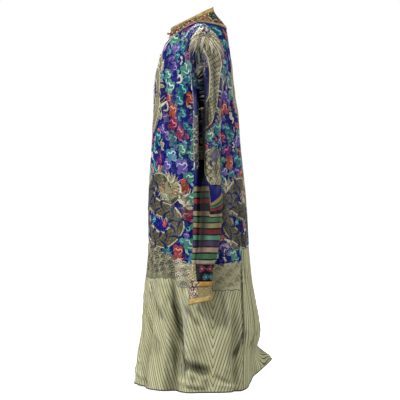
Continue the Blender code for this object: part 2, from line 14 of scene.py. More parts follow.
import bmesh
import bpy
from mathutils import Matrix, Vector
from mathutils.bvhtree import BVHTree


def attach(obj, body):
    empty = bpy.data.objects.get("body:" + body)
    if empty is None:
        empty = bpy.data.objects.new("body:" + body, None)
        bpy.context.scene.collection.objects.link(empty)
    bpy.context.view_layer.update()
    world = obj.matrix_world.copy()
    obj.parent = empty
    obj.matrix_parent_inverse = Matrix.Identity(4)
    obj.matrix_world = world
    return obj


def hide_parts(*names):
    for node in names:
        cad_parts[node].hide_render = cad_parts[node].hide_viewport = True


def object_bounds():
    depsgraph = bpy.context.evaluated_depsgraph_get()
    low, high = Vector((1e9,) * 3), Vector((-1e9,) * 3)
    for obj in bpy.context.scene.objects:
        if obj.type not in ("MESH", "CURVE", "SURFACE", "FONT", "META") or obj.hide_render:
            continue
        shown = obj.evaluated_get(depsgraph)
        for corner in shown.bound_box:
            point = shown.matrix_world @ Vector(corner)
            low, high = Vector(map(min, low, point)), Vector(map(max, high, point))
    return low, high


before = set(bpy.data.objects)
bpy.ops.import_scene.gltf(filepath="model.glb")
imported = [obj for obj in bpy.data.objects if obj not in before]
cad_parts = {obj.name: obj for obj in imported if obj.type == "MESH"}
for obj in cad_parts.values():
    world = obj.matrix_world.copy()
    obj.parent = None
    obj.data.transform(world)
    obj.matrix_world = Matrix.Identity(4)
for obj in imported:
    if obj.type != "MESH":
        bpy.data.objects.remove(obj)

scene = bpy.context.scene
cad_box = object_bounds()
print("CAD box", cad_box)

# %% [markdown]
# The camera stands level at the robe's left side, five metres away, as in the photograph. Its
# angle is the one at which the robe fills the frame as it does there.

# %% Camera
CAMERA_DISTANCE = 5.0
CAMERA_HEIGHT = -0.653
FOCAL_PIXELS = 1377.0
IMAGE_SIZE = 400

camera_data = bpy.data.cameras.new("camera")
camera_data.sensor_fit = "HORIZONTAL"
camera_data.angle = 2.0 * math.atan(0.5 * IMAGE_SIZE / FOCAL_PIXELS)
camera = bpy.data.objects.new("camera", camera_data)
camera.location = (CAMERA_DISTANCE, 0.0, CAMERA_HEIGHT)
camera.rotation_euler = (math.radians(90.0), 0.0, math.radians(90.0))
scene.collection.objects.link(camera)
scene.camera = camera
print("camera angle", round(math.degrees(camera_data.angle), 2))

# %% [markdown]
# Product photographs use a white sweep. The wall gives a soft light from all sides, and large lamps
# in front, behind and on the far side give the folds their shape.

# %% White wall
WALL_LIGHT = 0.34

scene.view_settings.view_transform = "Standard"
world = bpy.data.worlds.new("white studio")
world.use_nodes = True
background = world.node_tree.nodes["Background"]
background.inputs["Color"].default_value = (1.0, 1.0, 1.0, 1.0)
seen = world.node_tree.nodes.new("ShaderNodeLightPath")
strength = world.node_tree.nodes.new("ShaderNodeMapRange")
strength.inputs["To Min"].default_value = WALL_LIGHT
world.node_tree.links.new(seen.outputs["Is Camera Ray"], strength.inputs["Value"])
world.node_tree.links.new(strength.outputs[0], background.inputs["Strength"])
scene.world = world
print("wall light", WALL_LIGHT)

# %% Lamps
Lamp = namedtuple("Lamp", "name place target size power")
LAMPS = (
    Lamp("key", (2.9, -3.9, 2.3), (0.0, 0.0, -0.6), 1.0, 330.0),
    Lamp("rim", (1.4, 3.8, 1.0), (0.0, 0.0, -0.7), 1.2, 95.0),
    Lamp("far side", (-3.6, -0.6, 1.6), (0.0, 0.0, -0.6), 1.6, 170.0),
)
for lamp in LAMPS:
    data = bpy.data.lights.new(lamp.name, "AREA")
    data.shape = "SQUARE"
    data.size = lamp.size
    data.energy = lamp.power
    thing = bpy.data.objects.new(lamp.name, data)
    thing.location = lamp.place
    aim = Vector(lamp.target) - Vector(lamp.place)
    thing.rotation_euler = aim.to_track_quat("-Z", "Y").to_euler()
    scene.collection.objects.link(thing)
print("lamps", len(LAMPS))

# %% [markdown]
# A tailor starts from a pattern. This robe's pattern is a set of measures: level sections of the
# body and sleeve, large folds and the lines of the neck. They are the numbers that shaped the CAD
# walls, so that the fine cloth lies where the plain wall was.

# %% Walls and levels
WALL = 0.0018
SEAM = 0.0003
NECK_SEAM = 0.0011
LYING_GAP = 0.0004
UNDERLAP_INSET = 0.0045
HEM = -1.312
UNDERARM = -0.300
SLEEVE_HANG = -0.360
PLAIN_TOP = -0.516
STRIPE_TOP = -0.602
FLOWER_TOP = -0.872
CUFF_TOP = -0.930
CUFF_END = -1.002
print("underarm to hem", UNDERARM - HEM)


# %% Sections of the body
def in_metres(kind, rows):
    """Rows given in millimetres, as named rows in metres."""
    return tuple(kind(*(value / 1000 for value in row)) for row in rows)


Section = namedtuple("Section", "height front back half_width")
SECTIONS = in_metres(Section, (
    (-1312, -237, 205, 298),
    (-1240, -229, 203, 288),
    (-1180, -220, 206, 282),
    (-1118, -211, 219, 276),
    (-987, -200, 194, 260),
    (-835, -186, 177, 238),
    (-650, -185, 165, 217),
    (-465, -174, 146, 204),
    (-356, -168, 137, 200),
    (-300, -167, 129, 199),
))
SIDE_SEAM_Y = 0.044
SQUARENESS = 2.35
print("sections", len(SECTIONS))

# %% Large folds, flared hem and vents
Fold = namedtuple("Fold", "side place_top place_hem top depth half_width")
FOLDS = [Fold(*row) for row in (
    (1, 0.37, 0.35, -0.88, -0.030, 0.050),
    (1, 0.43, 0.43, -0.95, 0.014, 0.040),
    (1, 0.20, 0.17, -0.80, -0.014, 0.045),
    (1, 0.11, 0.09, -0.98, 0.008, 0.030),
    (1, 0.62, 0.65, -0.90, -0.014, 0.045),
    (1, 0.72, 0.74, -0.95, 0.004, 0.040),
    (1, 0.84, 0.83, -1.02, -0.004, 0.035),
    (-1, 0.34, 0.31, -0.90, -0.022, 0.050),
    (-1, 0.15, 0.14, -0.95, -0.012, 0.040),
    (-1, 0.66, 0.69, -0.85, -0.024, 0.045),
    (-1, 0.56, 0.57, -0.95, 0.012, 0.040),
    (-1, 0.83, 0.84, -1.00, -0.014, 0.040),
)]
FOLD_SETTLE = 1.3
KICK_OUT = {1: 0.056, -1: 0.018}
KICK_LIFT = {1: 0.084, -1: 0.052}
KICK_SPREAD = 0.42
KICK_HEIGHT = 0.055
LIFT_SPREAD = 0.64
FRONT_LIFT = 0.010
FRONT_LIFT_SPREAD = 0.5
VENT_TOP = -0.900
VENT_OPEN = 0.007
VENT_SPREAD = 0.2
print("folds", len(FOLDS))

# %% Neck, shoulder and closing edge
BAND_HALF_WIDTH = 0.092
BAND_FRONT_Y = -0.125
BAND_BACK_Y = 0.095
BAND_SIDE_Z = -0.020
BAND_FRONT_DROP = 0.071
BAND_BACK_DROP = 0.015
NECK_HALF_WIDTH = 0.062
NECK_FRONT_Y = -0.105
NECK_BACK_Y = 0.047
NECK_FRONT_Z = -0.030
NECK_BACK_Z = 0.047
NECK_SAG = 0.006
NECK_SHARE = 0.44
BINDING_START = 0.80
BINDING_WALL = 0.003
BINDING_PARTING = 0.004
PIPING_SHARE = 0.13
NECK_SLIT_TURN = 0.0012
SHOULDER_X = 0.186
SHOULDER_Y = 0.014
SHOULDER_Z = -0.052
SHOULDER_START_PULL = Vector((0.095, 0.010, -0.018))
SHOULDER_END_PULL = Vector((0.085, 0.006, -0.052))
TOP_PULL_CENTRE = {-1: Vector((0.0, 0.085, 0.195)), 1: Vector((0.0, -0.035, 0.235))}
TOP_PULL_SHOULDER = {-1: Vector((-0.030, 0.270, 0.085)), 1: Vector((-0.030, -0.250, 0.075))}
FOOT_PULL = 0.24
ARMHOLE_PULL = (0.05, 0.23, -0.02)
ARMHOLE_PULL_FROM = 0.55
EDGE_ACROSS_END = 0.97
EDGE_RISE_END = 1.05
EDGE_CURVE = 0.85
EDGE_BAND_WIDTH = 0.052
UPPER_LENGTH = {-1: 0.245, 1: 0.285}
LOWER_LENGTH = UNDERARM - HEM
print("shoulder width", 2.0 * SHOULDER_X)

# %% Hanging sleeve and cuff
SleeveRing = namedtuple("SleeveRing", "height centre_y half_x half_y valley")
SLEEVE_RINGS = in_metres(SleeveRing, (
    (-1010, 1, 31, 40, 0),
    (-960, 1, 30, 38, 2),
    (-900, 6, 31, 37, 8),
    (-800, 21, 36, 45, 16),
    (-680, 27, 40, 49, 20),
    (-560, 25, 42, 46, 22),
    (-440, 24, 45, 45, 26),
    (-300, 24, 47, 45, 24),
))
SLEEVE_CLEARANCE = 0.017
SLEEVE_SQUARENESS = 2.6
VALLEY_PLACE = 0.43
VALLEY_HALF_WIDTH = 0.085
# Shift round the sleeve and soft shoulders of the valley's painted shade.
VALLEY_SHADE_SHIFT = 0.034
VALLEY_SHADE_SHOULDER = 0.004
CUFF_SLANT = 0.010
CUFF_EDGE_SHARE = 0.25
CUFF_EDGE_WALL = 0.0010
print("sleeve sections", len(SLEEVE_RINGS))

# %% [markdown]
# A garment is a few smooth curves. Each function below gives one point of the cloth from two
# numbers that run over it, so a cloth of any fineness can be laid on the same form.


# %% Smooth curves
def smooth(value):
    """Ease from 0 to 1, flat outside."""
    value = min(1.0, max(0.0, value))
    return value * value * (3.0 - 2.0 * value)


def bump(offset, half_width):
    """Soft hump of height 1 that ends at half_width on both sides."""
    if abs(offset) >= half_width:
        return 0.0
    return math.cos(0.5 * math.pi * offset / half_width) ** 2


def hermite(start, end, start_pull, end_pull, t):
    """Place on a cubic between two points or numbers with given end tangents."""
    return (
        start * ((1 + 2 * t) * (1 - t) ** 2)
        + start_pull * (t * (1 - t) ** 2)
        + end * (t * t * (3 - 2 * t))
        - end_pull * (t * t * (1 - t))
    )


@lru_cache(maxsize=200000)
def along(table, name, height):
    """Smooth value of one column of a table at a height."""
    rows = sorted(table, key=lambda row: row.height)
    heights = [row.height for row in rows]
    values = [getattr(row, name) for row in rows]
    if height <= heights[0]:
        return values[0]
    if height >= heights[-1]:
        return values[-1]
    low = max(i for i in range(len(rows) - 1) if heights[i] <= height)
    slopes = []
    for i in (low, low + 1):
        before = max(0, i - 1)
        after = min(len(rows) - 1, i + 1)
        slopes.append((values[after] - values[before]) / (heights[after] - heights[before]))
    span = heights[low + 1] - heights[low]
    t = (height - heights[low]) / span
    return hermite(values[low], values[low + 1], slopes[0] * span, slopes[1] * span, t)


def section(name, height):
    """Value of the body's section at a height, to a tenth of a millimetre."""
    return along(SECTIONS, name, round(height, 4))


def ring(name, height):
    """Value of the sleeve's section at a height."""
    return along(SLEEVE_RINGS, name, round(height, 4))


# %% Body below the underarm
def fold_depth(side, turn, height):
    """How far the skirt's large folds push the cloth out."""
    push = 0.0
    for fold in FOLDS:
        fall = (fold.top - height) / (fold.top - HEM)
        if fold.side != side or fall <= 0.0:
            continue
        place = fold.place_top + (fold.place_hem - fold.place_top) * min(1.0, fall)
        push += fold.depth * smooth(fall * FOLD_SETTLE) * bump(turn - place, fold.half_width)
    return push


def hem_height(side, face, across):
    """Height of the hem, which rises to the vents at centre front and back."""
    if face < 0:
        return HEM + FRONT_LIFT * smooth(1.0 - across / FRONT_LIFT_SPREAD)
    return HEM + KICK_LIFT[side] * smooth(1.0 - across / LIFT_SPREAD)


def ring_point(side, face, across, height):
    """Body below the underarm: face -1 front or 1 back, across 0 centre line to 1 side seam."""
    angle = 0.5 * math.pi * across
    edge_y = section("front" if face < 0 else "back", height)
    half_width = section("half_width", height)
    power = 2.0 / SQUARENESS
    x = half_width * math.sin(angle) ** power if across > 0.0 else 0.0
    y = SIDE_SEAM_Y + (edge_y - SIDE_SEAM_Y) * max(0.0, math.cos(angle)) ** power
    turn = 0.5 * across if face < 0 else 1.0 - 0.5 * across
    out = Vector((x / half_width**2, (y - SIDE_SEAM_Y) / (edge_y - SIDE_SEAM_Y) ** 2, 0.0)).normalized()
    point = Vector((x, y, height)) + out * fold_depth(side, turn, height)
    above_hem = height - hem_height(side, face, across)
    if face > 0:
        kick = smooth(1.0 - across / KICK_SPREAD) * smooth(1.0 - above_hem / KICK_HEIGHT)
        point.y += KICK_OUT[side] * kick
    open_vent = smooth((VENT_TOP - height) / (VENT_TOP - HEM)) * (1.0 - smooth(across / VENT_SPREAD))
    point.x += VENT_OPEN * open_vent
    return point


print("hem half width", section("half_width", HEM))

# %% [markdown]
# Above the underarm a cubic curve joins the two ends of each column, because its end directions
# can be chosen: it leaves the underarm in line with the cloth below and meets the band as cloth
# lies on a chest.


# %% Neck lines and halves
def band_line(face, share):
    """Outer line of the neck band, share 0 at the centre line and 1 on the shoulder."""
    angle = 0.5 * math.pi * share
    fall = max(0.0, math.cos(angle))
    centre_y = BAND_FRONT_Y if face < 0 else BAND_BACK_Y
    drop = BAND_FRONT_DROP if face < 0 else BAND_BACK_DROP
    return Vector((BAND_HALF_WIDTH * math.sin(angle), centre_y * fall, BAND_SIDE_Z - drop * fall**1.5))


def neck_line(face, share):
    """Neck edge, share 0 at the centre line and 1 at the side of the neck."""
    angle = 0.5 * math.pi * share
    if face > 0:
        angle = math.pi - angle
    half_length = 0.5 * (NECK_BACK_Y - NECK_FRONT_Y)
    y = 0.5 * (NECK_BACK_Y + NECK_FRONT_Y) - half_length * math.cos(angle)
    share_back = (y - NECK_FRONT_Y) / (2.0 * half_length)
    z = NECK_FRONT_Z + (NECK_BACK_Z - NECK_FRONT_Z) * share_back
    z -= NECK_SAG * math.sin(math.pi * share_back)
    return Vector((NECK_HALF_WIDTH * math.sin(angle), y, z))


def top_point(face, across):
    """Top edge of a half: the band's outer line, then the fold over the shoulder."""
    if across <= NECK_SHARE:
        return band_line(face, across / NECK_SHARE)
    run = (across - NECK_SHARE) / (1.0 - NECK_SHARE)
    end = Vector((SHOULDER_X, SHOULDER_Y, SHOULDER_Z))
    return hermite(band_line(face, 1.0), end, SHOULDER_START_PULL, SHOULDER_END_PULL, run)


def top_pull(face, across):
    """Direction in which the cloth reaches its top edge."""
    return TOP_PULL_CENTRE[face].lerp(TOP_PULL_SHOULDER[face], smooth(across / NECK_SHARE))


@lru_cache(maxsize=4000)
def underarm_reach(side, face, across):
    """Underarm point of a column and the pull with which the cloth leaves it."""
    foot = ring_point(side, face, across, UNDERARM)
    drop = 0.03
    below = ring_point(side, face, across, UNDERARM - drop)
    to_arm = smooth((across - ARMHOLE_PULL_FROM) / (1.0 - ARMHOLE_PULL_FROM))
    pull = (foot - below) * (FOOT_PULL / drop)
    pull += Vector((ARMHOLE_PULL[0], ARMHOLE_PULL[1] * face, ARMHOLE_PULL[2])) * to_arm
    return foot, pull


def half_point(side, face, across, rise):
    """Middle of a half's wall, rise 0 at the hem, 1 at the underarm, 2 at the top edge."""
    if rise <= 1.0:
        hem = hem_height(side, face, across)
        return ring_point(side, face, across, hem + (UNDERARM - hem) * rise)
    foot, pull = underarm_reach(side, face, across)
    return hermite(foot, top_point(face, across), pull, top_pull(face, across), rise - 1.0)


left_point = partial(half_point, 1)
outer_point = partial(half_point, -1)
print("chest at", round(left_point(-1, 0.0, 1.0).y, 3))

# %% [markdown]
# The robe closes on the wearer's right, where the outer right front laps over the right half, so
# the half lies a little further in below it.

# %% Closing edge and underlap
UNDERLAP_START = 0.13
UNDERLAP_EASE = 0.12
UNDERLAP_BACK_TOP = 1.12
UNDERLAP_BACK_EASE = 0.11
BODY_MIDDLE_Y = 0.02
BODY_MIDDLE_TOP = -0.12
NORMAL_STEP = 0.004


def edge_rise(across):
    """Rise of the closing edge over the right front: an S from the neck to the underarm."""
    run = min(1.0, across / EDGE_ACROSS_END)
    return EDGE_RISE_END + (2.0 - EDGE_RISE_END) * 0.5 * (1.0 + math.cos(math.pi * run**EDGE_CURVE))


def lowered(rise, distance):
    """Rise that lies a distance further down a column of the front."""
    above = (rise - 1.0) * UPPER_LENGTH[-1]
    if distance <= above:
        return rise - distance / UPPER_LENGTH[-1]
    return 1.0 - (distance - above) / LOWER_LENGTH


def underlap(face, across, rise):
    """How far the right half lies inside the outer front that laps over it."""
    if face < 0:
        return UNDERLAP_INSET * smooth((edge_rise(across) + UNDERLAP_START - rise) / UNDERLAP_EASE)
    beyond = smooth((1.0 - across) / UNDERLAP_EASE)
    return UNDERLAP_INSET * (1.0 - beyond) * smooth((UNDERLAP_BACK_TOP - rise) / UNDERLAP_BACK_EASE)


def normal_at(function, u, v, outward):
    """Unit normal of a surface function that points the way of the hint."""
    step = NORMAL_STEP
    across = function(min(1.0, u + step), v) - function(max(0.0, u - step), v)
    upward = function(u, min(1.0, v + step)) - function(u, max(0.0, v - step))
    normal = across.cross(upward)
    if normal.length < 1e-12:
        normal = outward.copy()
    normal.normalize()
    return -normal if normal.dot(outward) < 0.0 else normal


def body_axis(point):
    """Middle of the body beside a point."""
    return Vector((0.0, BODY_MIDDLE_Y, min(point.z - 0.02, BODY_MIDDLE_TOP)))


def right_half_point(face, across, rise):
    """Middle of the right half's wall, set in where the outer front laps over it."""
    point = half_point(-1, face, across, rise)
    inset = underlap(face, across, rise)
    if inset <= 0.0:
        return point

    def whole(u, v):
        return half_point(-1, face, u, 2.0 * v)

    normal = normal_at(whole, across, 0.5 * rise, point - body_axis(point))
    normal = normal.lerp(Vector((1.0, 0.0, 0.0)), smooth((across - 0.9) / 0.1))
    return point - normal * inset


# %% [markdown]
# The sleeve hangs straight down beside the body, with one long valley in its outer side. Its top
# turns from the armhole into the hanging section.


# %% Sleeve and cuff
def sleeve_section(turn, height):
    """Hanging sleeve: turn 0 on the inner side, then front, outer side and back."""
    angle = 2.0 * math.pi * turn
    half_x = ring("half_x", height)
    half_y = ring("half_y", height)
    centre_x = section("half_width", height) + SLEEVE_CLEARANCE + half_x
    power = 2.0 / SLEEVE_SQUARENESS
    cosine = math.cos(angle)
    sine = math.sin(angle)
    x = centre_x - half_x * math.copysign(abs(cosine) ** power, cosine)
    y = ring("centre_y", height) - half_y * math.copysign(abs(sine) ** power, sine)
    valley = ring("valley", height) * bump(turn - VALLEY_PLACE, VALLEY_HALF_WIDTH)
    return Vector((x - valley, y, height))


def valley_shade_depth(turn, height):
    """Depth that paints shade into the sleeve's long valley: its depth, moved a little round and without its
    soft shoulders. It doesn't move the cloth.
    """
    depth = ring("valley", height) * bump(turn - VALLEY_PLACE - VALLEY_SHADE_SHIFT, VALLEY_HALF_WIDTH)
    return -max(0.0, depth - VALLEY_SHADE_SHOULDER)


def armhole_point(side, turn):
    """Armhole loop, turn 0 at the underarm, 0.5 on the shoulder tip."""
    if turn <= 0.5:
        return half_point(side, -1, 1.0, 1.0 + 2.0 * turn)
    return half_point(side, 1, 1.0, 1.0 + 2.0 * (1.0 - turn))


def cap_point(side, turn, run):
    """Upper sleeve from the armhole, run 0, to where it hangs straight, run 1."""
    start = armhole_point(side, turn)
    end = sleeve_section(turn, SLEEVE_HANG)
    reach = (end - start).length
    outer = bump(turn - 0.5, 0.5)
    start_pull = Vector((0.62 + 0.38 * outer, 0.0, -0.80 + 0.45 * outer)).normalized() * reach
    return hermite(start, end, start_pull, Vector((0.0, 0.0, -reach)), run)


def cuff_point(turn, height):
    """Cuff, whose lower edge slants down to the front."""
    share = (CUFF_TOP - height) / (CUFF_TOP - CUFF_END)
    point = sleeve_section(turn, height)
    point.z -= CUFF_SLANT * share * math.sin(2.0 * math.pi * turn)
    return point


print("sleeve end", round(cuff_point(0.0, CUFF_END).z, 3))


# %% Neck band surface
def collar_point(turn, share):
    """Neck band, turn 0 centre front to 1 centre back, share 0 outer line to 1 neck edge."""
    face = -1 if turn <= 0.5 else 1
    run = 2.0 * turn if face < 0 else 2.0 * (1.0 - turn)
    start = band_line(face, run)
    end = neck_line(face, run)
    reach = (end - start).length
    start_pull = top_pull(face, run * NECK_SHARE).normalized() * reach
    parted = NECK_SEAM / reach
    share = parted + (1.0 - parted) * share
    return hermite(start, end, start_pull, Vector((0.0, 0.0, reach)), share)


# %% [markdown]
# Silk that hangs takes soft troughs and ridges, and no two are alike. A cloth simulation would lay
# them at random, so each crease below is given as a line on the cloth. Its row gives, in
# millimetres, distance from the side seam and height at both ends, then depth and half width.

# %% Creases of the body
Crease = namedtuple("Crease", "start_s start_v end_s end_v depth half_width")
CREASES_MM = {
    (1, -1): (
        # left front, from the armhole and the chest to the skirt
        (4, -110, 2, -420, -15, 16), (30, -130, 20, -360, 7, 16), (215, -235, 120, -520, -6, 22),
        (180, -230, 85, -470, 4.5, 18), (120, -260, 40, -400, -5, 18), (250, -420, 130, -700, -5, 20),
        (290, -560, 250, -840, 4.5, 18), (272, -760, 266, -1010, -9, 11), (150, -900, 112, -1270, -13, 18),
        (118, -930, 88, -1220, 7, 12), (245, -1005, 190, -1075, -8, 18), (168, -985, 128, -1045, -8, 14),
        (100, -970, 62, -1010, 6, 13), (290, -1100, 215, -1165, -6, 16), (100, -560, 60, -830, -5, 20),
        (330, -800, 345, -1190, -6, 14), (365, -900, 375, -1290, 4.5, 12), (395, -960, 410, -1230, -4, 12),
        (330, -1010, 275, -1110, -6, 16), (300, -1030, 250, -1120, 4.5, 14),
        (98, -1020, 42, -1090, -10, 14), (62, -1000, 8, -1090, 8, 14), (185, -1120, 110, -1190, 4, 14),
        (400, -1275, 270, -1300, -5.5, 14), (430, -1235, 330, -1285, 5, 14),
        (200, -880, 170, -1290, 6, 18), (120, -1130, 100, -1280, -5, 16),
        # left side, the crumpled hem and the hollow over it
        (120, -1212, 6, -1246, -19, 27), (100, -1258, 84, -1300, 7, 9), (74, -1252, 62, -1298, -8.5, 9),
        (46, -1256, 40, -1302, 7, 9), (24, -1262, 16, -1300, -8, 9), (150, -1268, 40, -1292, 7, 14),
        (110, -1292, 20, -1304, -5, 10),
    ),
    (1, 1): (
        # left side, the crumpled hem and the hollow over it
        (5, -1255, 70, -1288, -6, 14), (10, -1285, 110, -1296, 5, 10),
        # left back
        (90, -250, 60, -560, -5, 18), (160, -260, 140, -700, 4, 20), (220, -300, 240, -780, -5, 20),
        (110, -640, 170, -1000, -5.5, 20), (122, -870, 119, -1160, -9.5, 11),
        (128, -1110, 82, -1200, -9.5, 16), (40, -960, 60, -1160, 5, 18), (175, -900, 150, -1190, 5, 16),
        (215, -860, 190, -1240, -6, 16), (260, -960, 255, -1200, 5, 16),
        (245, -1110, 130, -1190, -5.5, 16), (330, -900, 350, -1180, -5, 18),
        (80, -1050, 60, -1230, -5, 18),
    ),
    (-1, -1): (
        # right front
        (230, -250, 110, -500, -5.5, 22), (150, -330, 60, -480, -5, 18), (270, -480, 180, -800, 4.5, 20),
        (100, -520, 80, -860, -5.5, 20), (320, -820, 330, -1220, -6, 16), (380, -900, 400, -1280, 4.5, 14),
        (210, -930, 180, -1270, 5.5, 18), (120, -1060, 50, -1240, -6, 18),
    ),
    (-1, 1): (
        # right back
        (100, -260, 70, -600, -5, 20), (200, -280, 230, -720, -4.5, 20), (150, -600, 190, -980, 4.5, 18),
        (240, -820, 210, -1230, -6, 18), (300, -940, 320, -1250, 5, 16), (90, -1000, 60, -1260, -5.5, 18),
    ),
}
CREASES = {key: in_metres(Crease, rows) for key, rows in CREASES_MM.items()}
CREASE_OVERRUN = 0.1
CREASE_FADE = 0.35


def beside_line(s, v, run_s, run_v):
    """Share along a line that starts at 0, 0, and distance from it."""
    length = math.hypot(run_s, run_v)
    return (s * run_s + v * run_v) / length**2, abs(s * run_v - v * run_s) / length


def crease_push(side, face, s, v):
    """How far the creases push the cloth out at a place on it."""
    push = 0.0
    for crease in CREASES[side, face]:
        run_s = crease.end_s - crease.start_s
        run_v = crease.end_v - crease.start_v
        t, off = beside_line(s - crease.start_s, v - crease.start_v, run_s, run_v)
        if -CREASE_OVERRUN < t < 1.0 + CREASE_OVERRUN and off < crease.half_width:
            start = smooth((t + CREASE_OVERRUN) / CREASE_FADE)
            end = smooth((1.0 + CREASE_OVERRUN - t) / CREASE_FADE)
            push += crease.depth * (start * end) * bump(off, crease.half_width)
    return push


print("creases", sum(len(rows) for rows in CREASES.values()))

# %% Creases of the sleeve
SleeveCrease = namedtuple("SleeveCrease", "start_turn start_v end_turn end_v depth half_width")
SLEEVE_CREASES = [SleeveCrease(*row) for row in (
    (0.44, -0.190, 0.44, -0.640, -0.0230, 0.014),
    (0.34, -0.230, 0.36, -0.620, 0.0060, 0.016),
    (0.22, -0.175, 0.20, -0.330, -0.0100, 0.012),
    (0.52, -0.400, 0.53, -0.640, 0.0060, 0.014),
    (0.56, -0.210, 0.60, -0.400, -0.0060, 0.016),
    (0.66, -0.200, 0.70, -0.380, 0.0050, 0.014),
    (0.24, -0.400, 0.30, -0.560, -0.0045, 0.012),
    (0.62, -0.430, 0.56, -0.600, -0.0045, 0.014),
    (0.70, -0.560, 0.56, -0.640, 0.0045, 0.012),
    (0.58, -0.650, 0.66, -0.780, -0.0040, 0.014),
    (0.30, -0.640, 0.36, -0.760, -0.0035, 0.012),
    (0.50, -0.760, 0.60, -0.850, 0.0035, 0.012),
)]
SLEEVE_CREASE_FADE = 0.3


def sleeve_push(turn, v, girth):
    """How far the creases push the sleeve out at a turn and a height."""
    push = 0.0
    for crease in SLEEVE_CREASES:
        run_s = (crease.end_turn - crease.start_turn) * girth
        run_v = crease.end_v - crease.start_v
        t, off = beside_line((turn - crease.start_turn) * girth, v - crease.start_v, run_s, run_v)
        if 0.0 < t < 1.0:
            start = smooth(t / SLEEVE_CREASE_FADE)
            end = smooth((1.0 - t) / SLEEVE_CREASE_FADE)
            push += crease.depth * start * end * bump(off, crease.half_width)
    return push


print("creases on each sleeve", len(SLEEVE_CREASES))

# %% [markdown]
# A cloth is made of patches, each a grid laid on a curve of the robe. They are welded, the creases
# move each point along the normal, and a Solidify modifier gives the wall. The UV map holds metres
# on the cloth, so that weave and stripes keep their size, and an attribute notes the troughs and
# ridges, where the materials paint shade and highlight.

# %% A patch of cloth
# form: a depth that only deepens the painted shade of a trough; it doesn't move the cloth.
Patch = namedtuple("Patch", "point place columns rows push form",
                   defaults=(lambda u, v, found: 0.0, lambda u, v: 0.0))
GRID = 0.0062
# Depth of a trough at which its painted shade is full.
TROUGH_DEPTH = 0.012


def steps(count, start=0.0, end=1.0):
    """Evenly spaced values, both ends included."""
    return [start + (end - start) * i / count for i in range(count + 1)]


def count_for(length):
    """How many steps of the cloth's grid a length takes."""
    return max(1, round(length / GRID))


def on_side(side, point):
    """Put a point of the left side on its own side, half a seam off the centre line."""
    return Vector((side * (point.x + 0.5 * SEAM), point.y, point.z))


def add_patch(mesh, patch, side):
    """Lay a grid on a patch, with its place on the cloth as UV and its creases as a push."""
    uv = mesh.loops.layers.uv.verify()
    push = mesh.verts.layers.float.get("push") or mesh.verts.layers.float.new("push")
    trough = mesh.verts.layers.float.get("trough") or mesh.verts.layers.float.new("trough")
    u_count = len(patch.columns) - 1
    v_count = len(patch.rows) - 1
    made = bmesh.ops.create_grid(mesh, x_segments=u_count, y_segments=v_count, size=1.0)
    places = {}
    for vertex in made["verts"]:
        u = patch.columns[round((vertex.co.x + 1.0) * 0.5 * u_count)]
        v = patch.rows[round((vertex.co.y + 1.0) * 0.5 * v_count)]
        place = patch.place(u, v)
        places[vertex] = place
        vertex[push] = patch.push(u, v, place)
        # trough: 1 deep in a trough, -1 on a ridge; the materials paint shade and highlight from it.
        vertex[trough] = max(-1.0, min(1.0, -(vertex[push] + patch.form(u, v)) / TROUGH_DEPTH))
        vertex.co = on_side(side, patch.point(u, v))
    faces = {face for vertex in made["verts"] for face in vertex.link_faces}
    for face in faces:
        for loop in face.loops:
            loop[uv].uv = places[loop.vert]


# %% Cloth from patches
def outward_normals(mesh, centre):
    """Turn the open cloth's faces so that they point away from its middle."""
    bmesh.ops.recalc_face_normals(mesh, faces=mesh.faces[:])
    score = sum(face.normal.dot(face.calc_center_median() - centre) * face.calc_area()
                for face in mesh.faces)
    if score < 0.0:
        bmesh.ops.reverse_faces(mesh, faces=mesh.faces[:])
    mesh.normal_update()


def finished(name, data, materials):
    """Object for a mesh, smooth, with its materials, on the body root."""
    for material in materials:
        data.materials.append(material)
    data.shade_smooth()
    thing = bpy.data.objects.new(name, data)
    scene.collection.objects.link(thing)
    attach(thing, "root")
    return thing


def cloth(name, patches, side, material, centre, node=None, wall=WALL, raise_by=0.0):
    """Weld patches into one cloth, crease it, give it its wall and body, and hide the CAD part that it
    replaces.
    """
    mesh = bmesh.new()
    for patch in patches:
        add_patch(mesh, patch, side)
    bmesh.ops.remove_doubles(mesh, verts=mesh.verts[:], dist=2e-5)
    outward_normals(mesh, Vector(centre))
    push = mesh.verts.layers.float["push"]
    moves = [(vertex, vertex.normal * (vertex[push] + raise_by)) for vertex in mesh.verts]
    for vertex, move in moves:
        vertex.co += move
    mesh.normal_update()
    data = bpy.data.meshes.new(name)
    mesh.to_mesh(data)
    mesh.free()
    thing = finished(name, data, [material])
    solid = thing.modifiers.new("wall", "SOLIDIFY")
    solid.thickness = wall
    solid.offset = 0.0
    if node:
        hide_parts(node)
    print(name, len(data.polygons), "faces")
    return thing


# %% [markdown]
# The materials are written as sums. One small class stands for a socket of the node tree, and its
# operators add the Math nodes, so a weave reads like the formula of its threads.


# %% Shader arithmetic
def maths(operation, swapped=False):
    """Method that adds a Math node. Swapped is the reflected form, where a number comes first."""

    def method(self, *others):
        values = (*others, self) if swapped else (self, *others)
        return self.nodes.node("ShaderNodeMath", {"operation": operation}, enumerate(values))

    return method


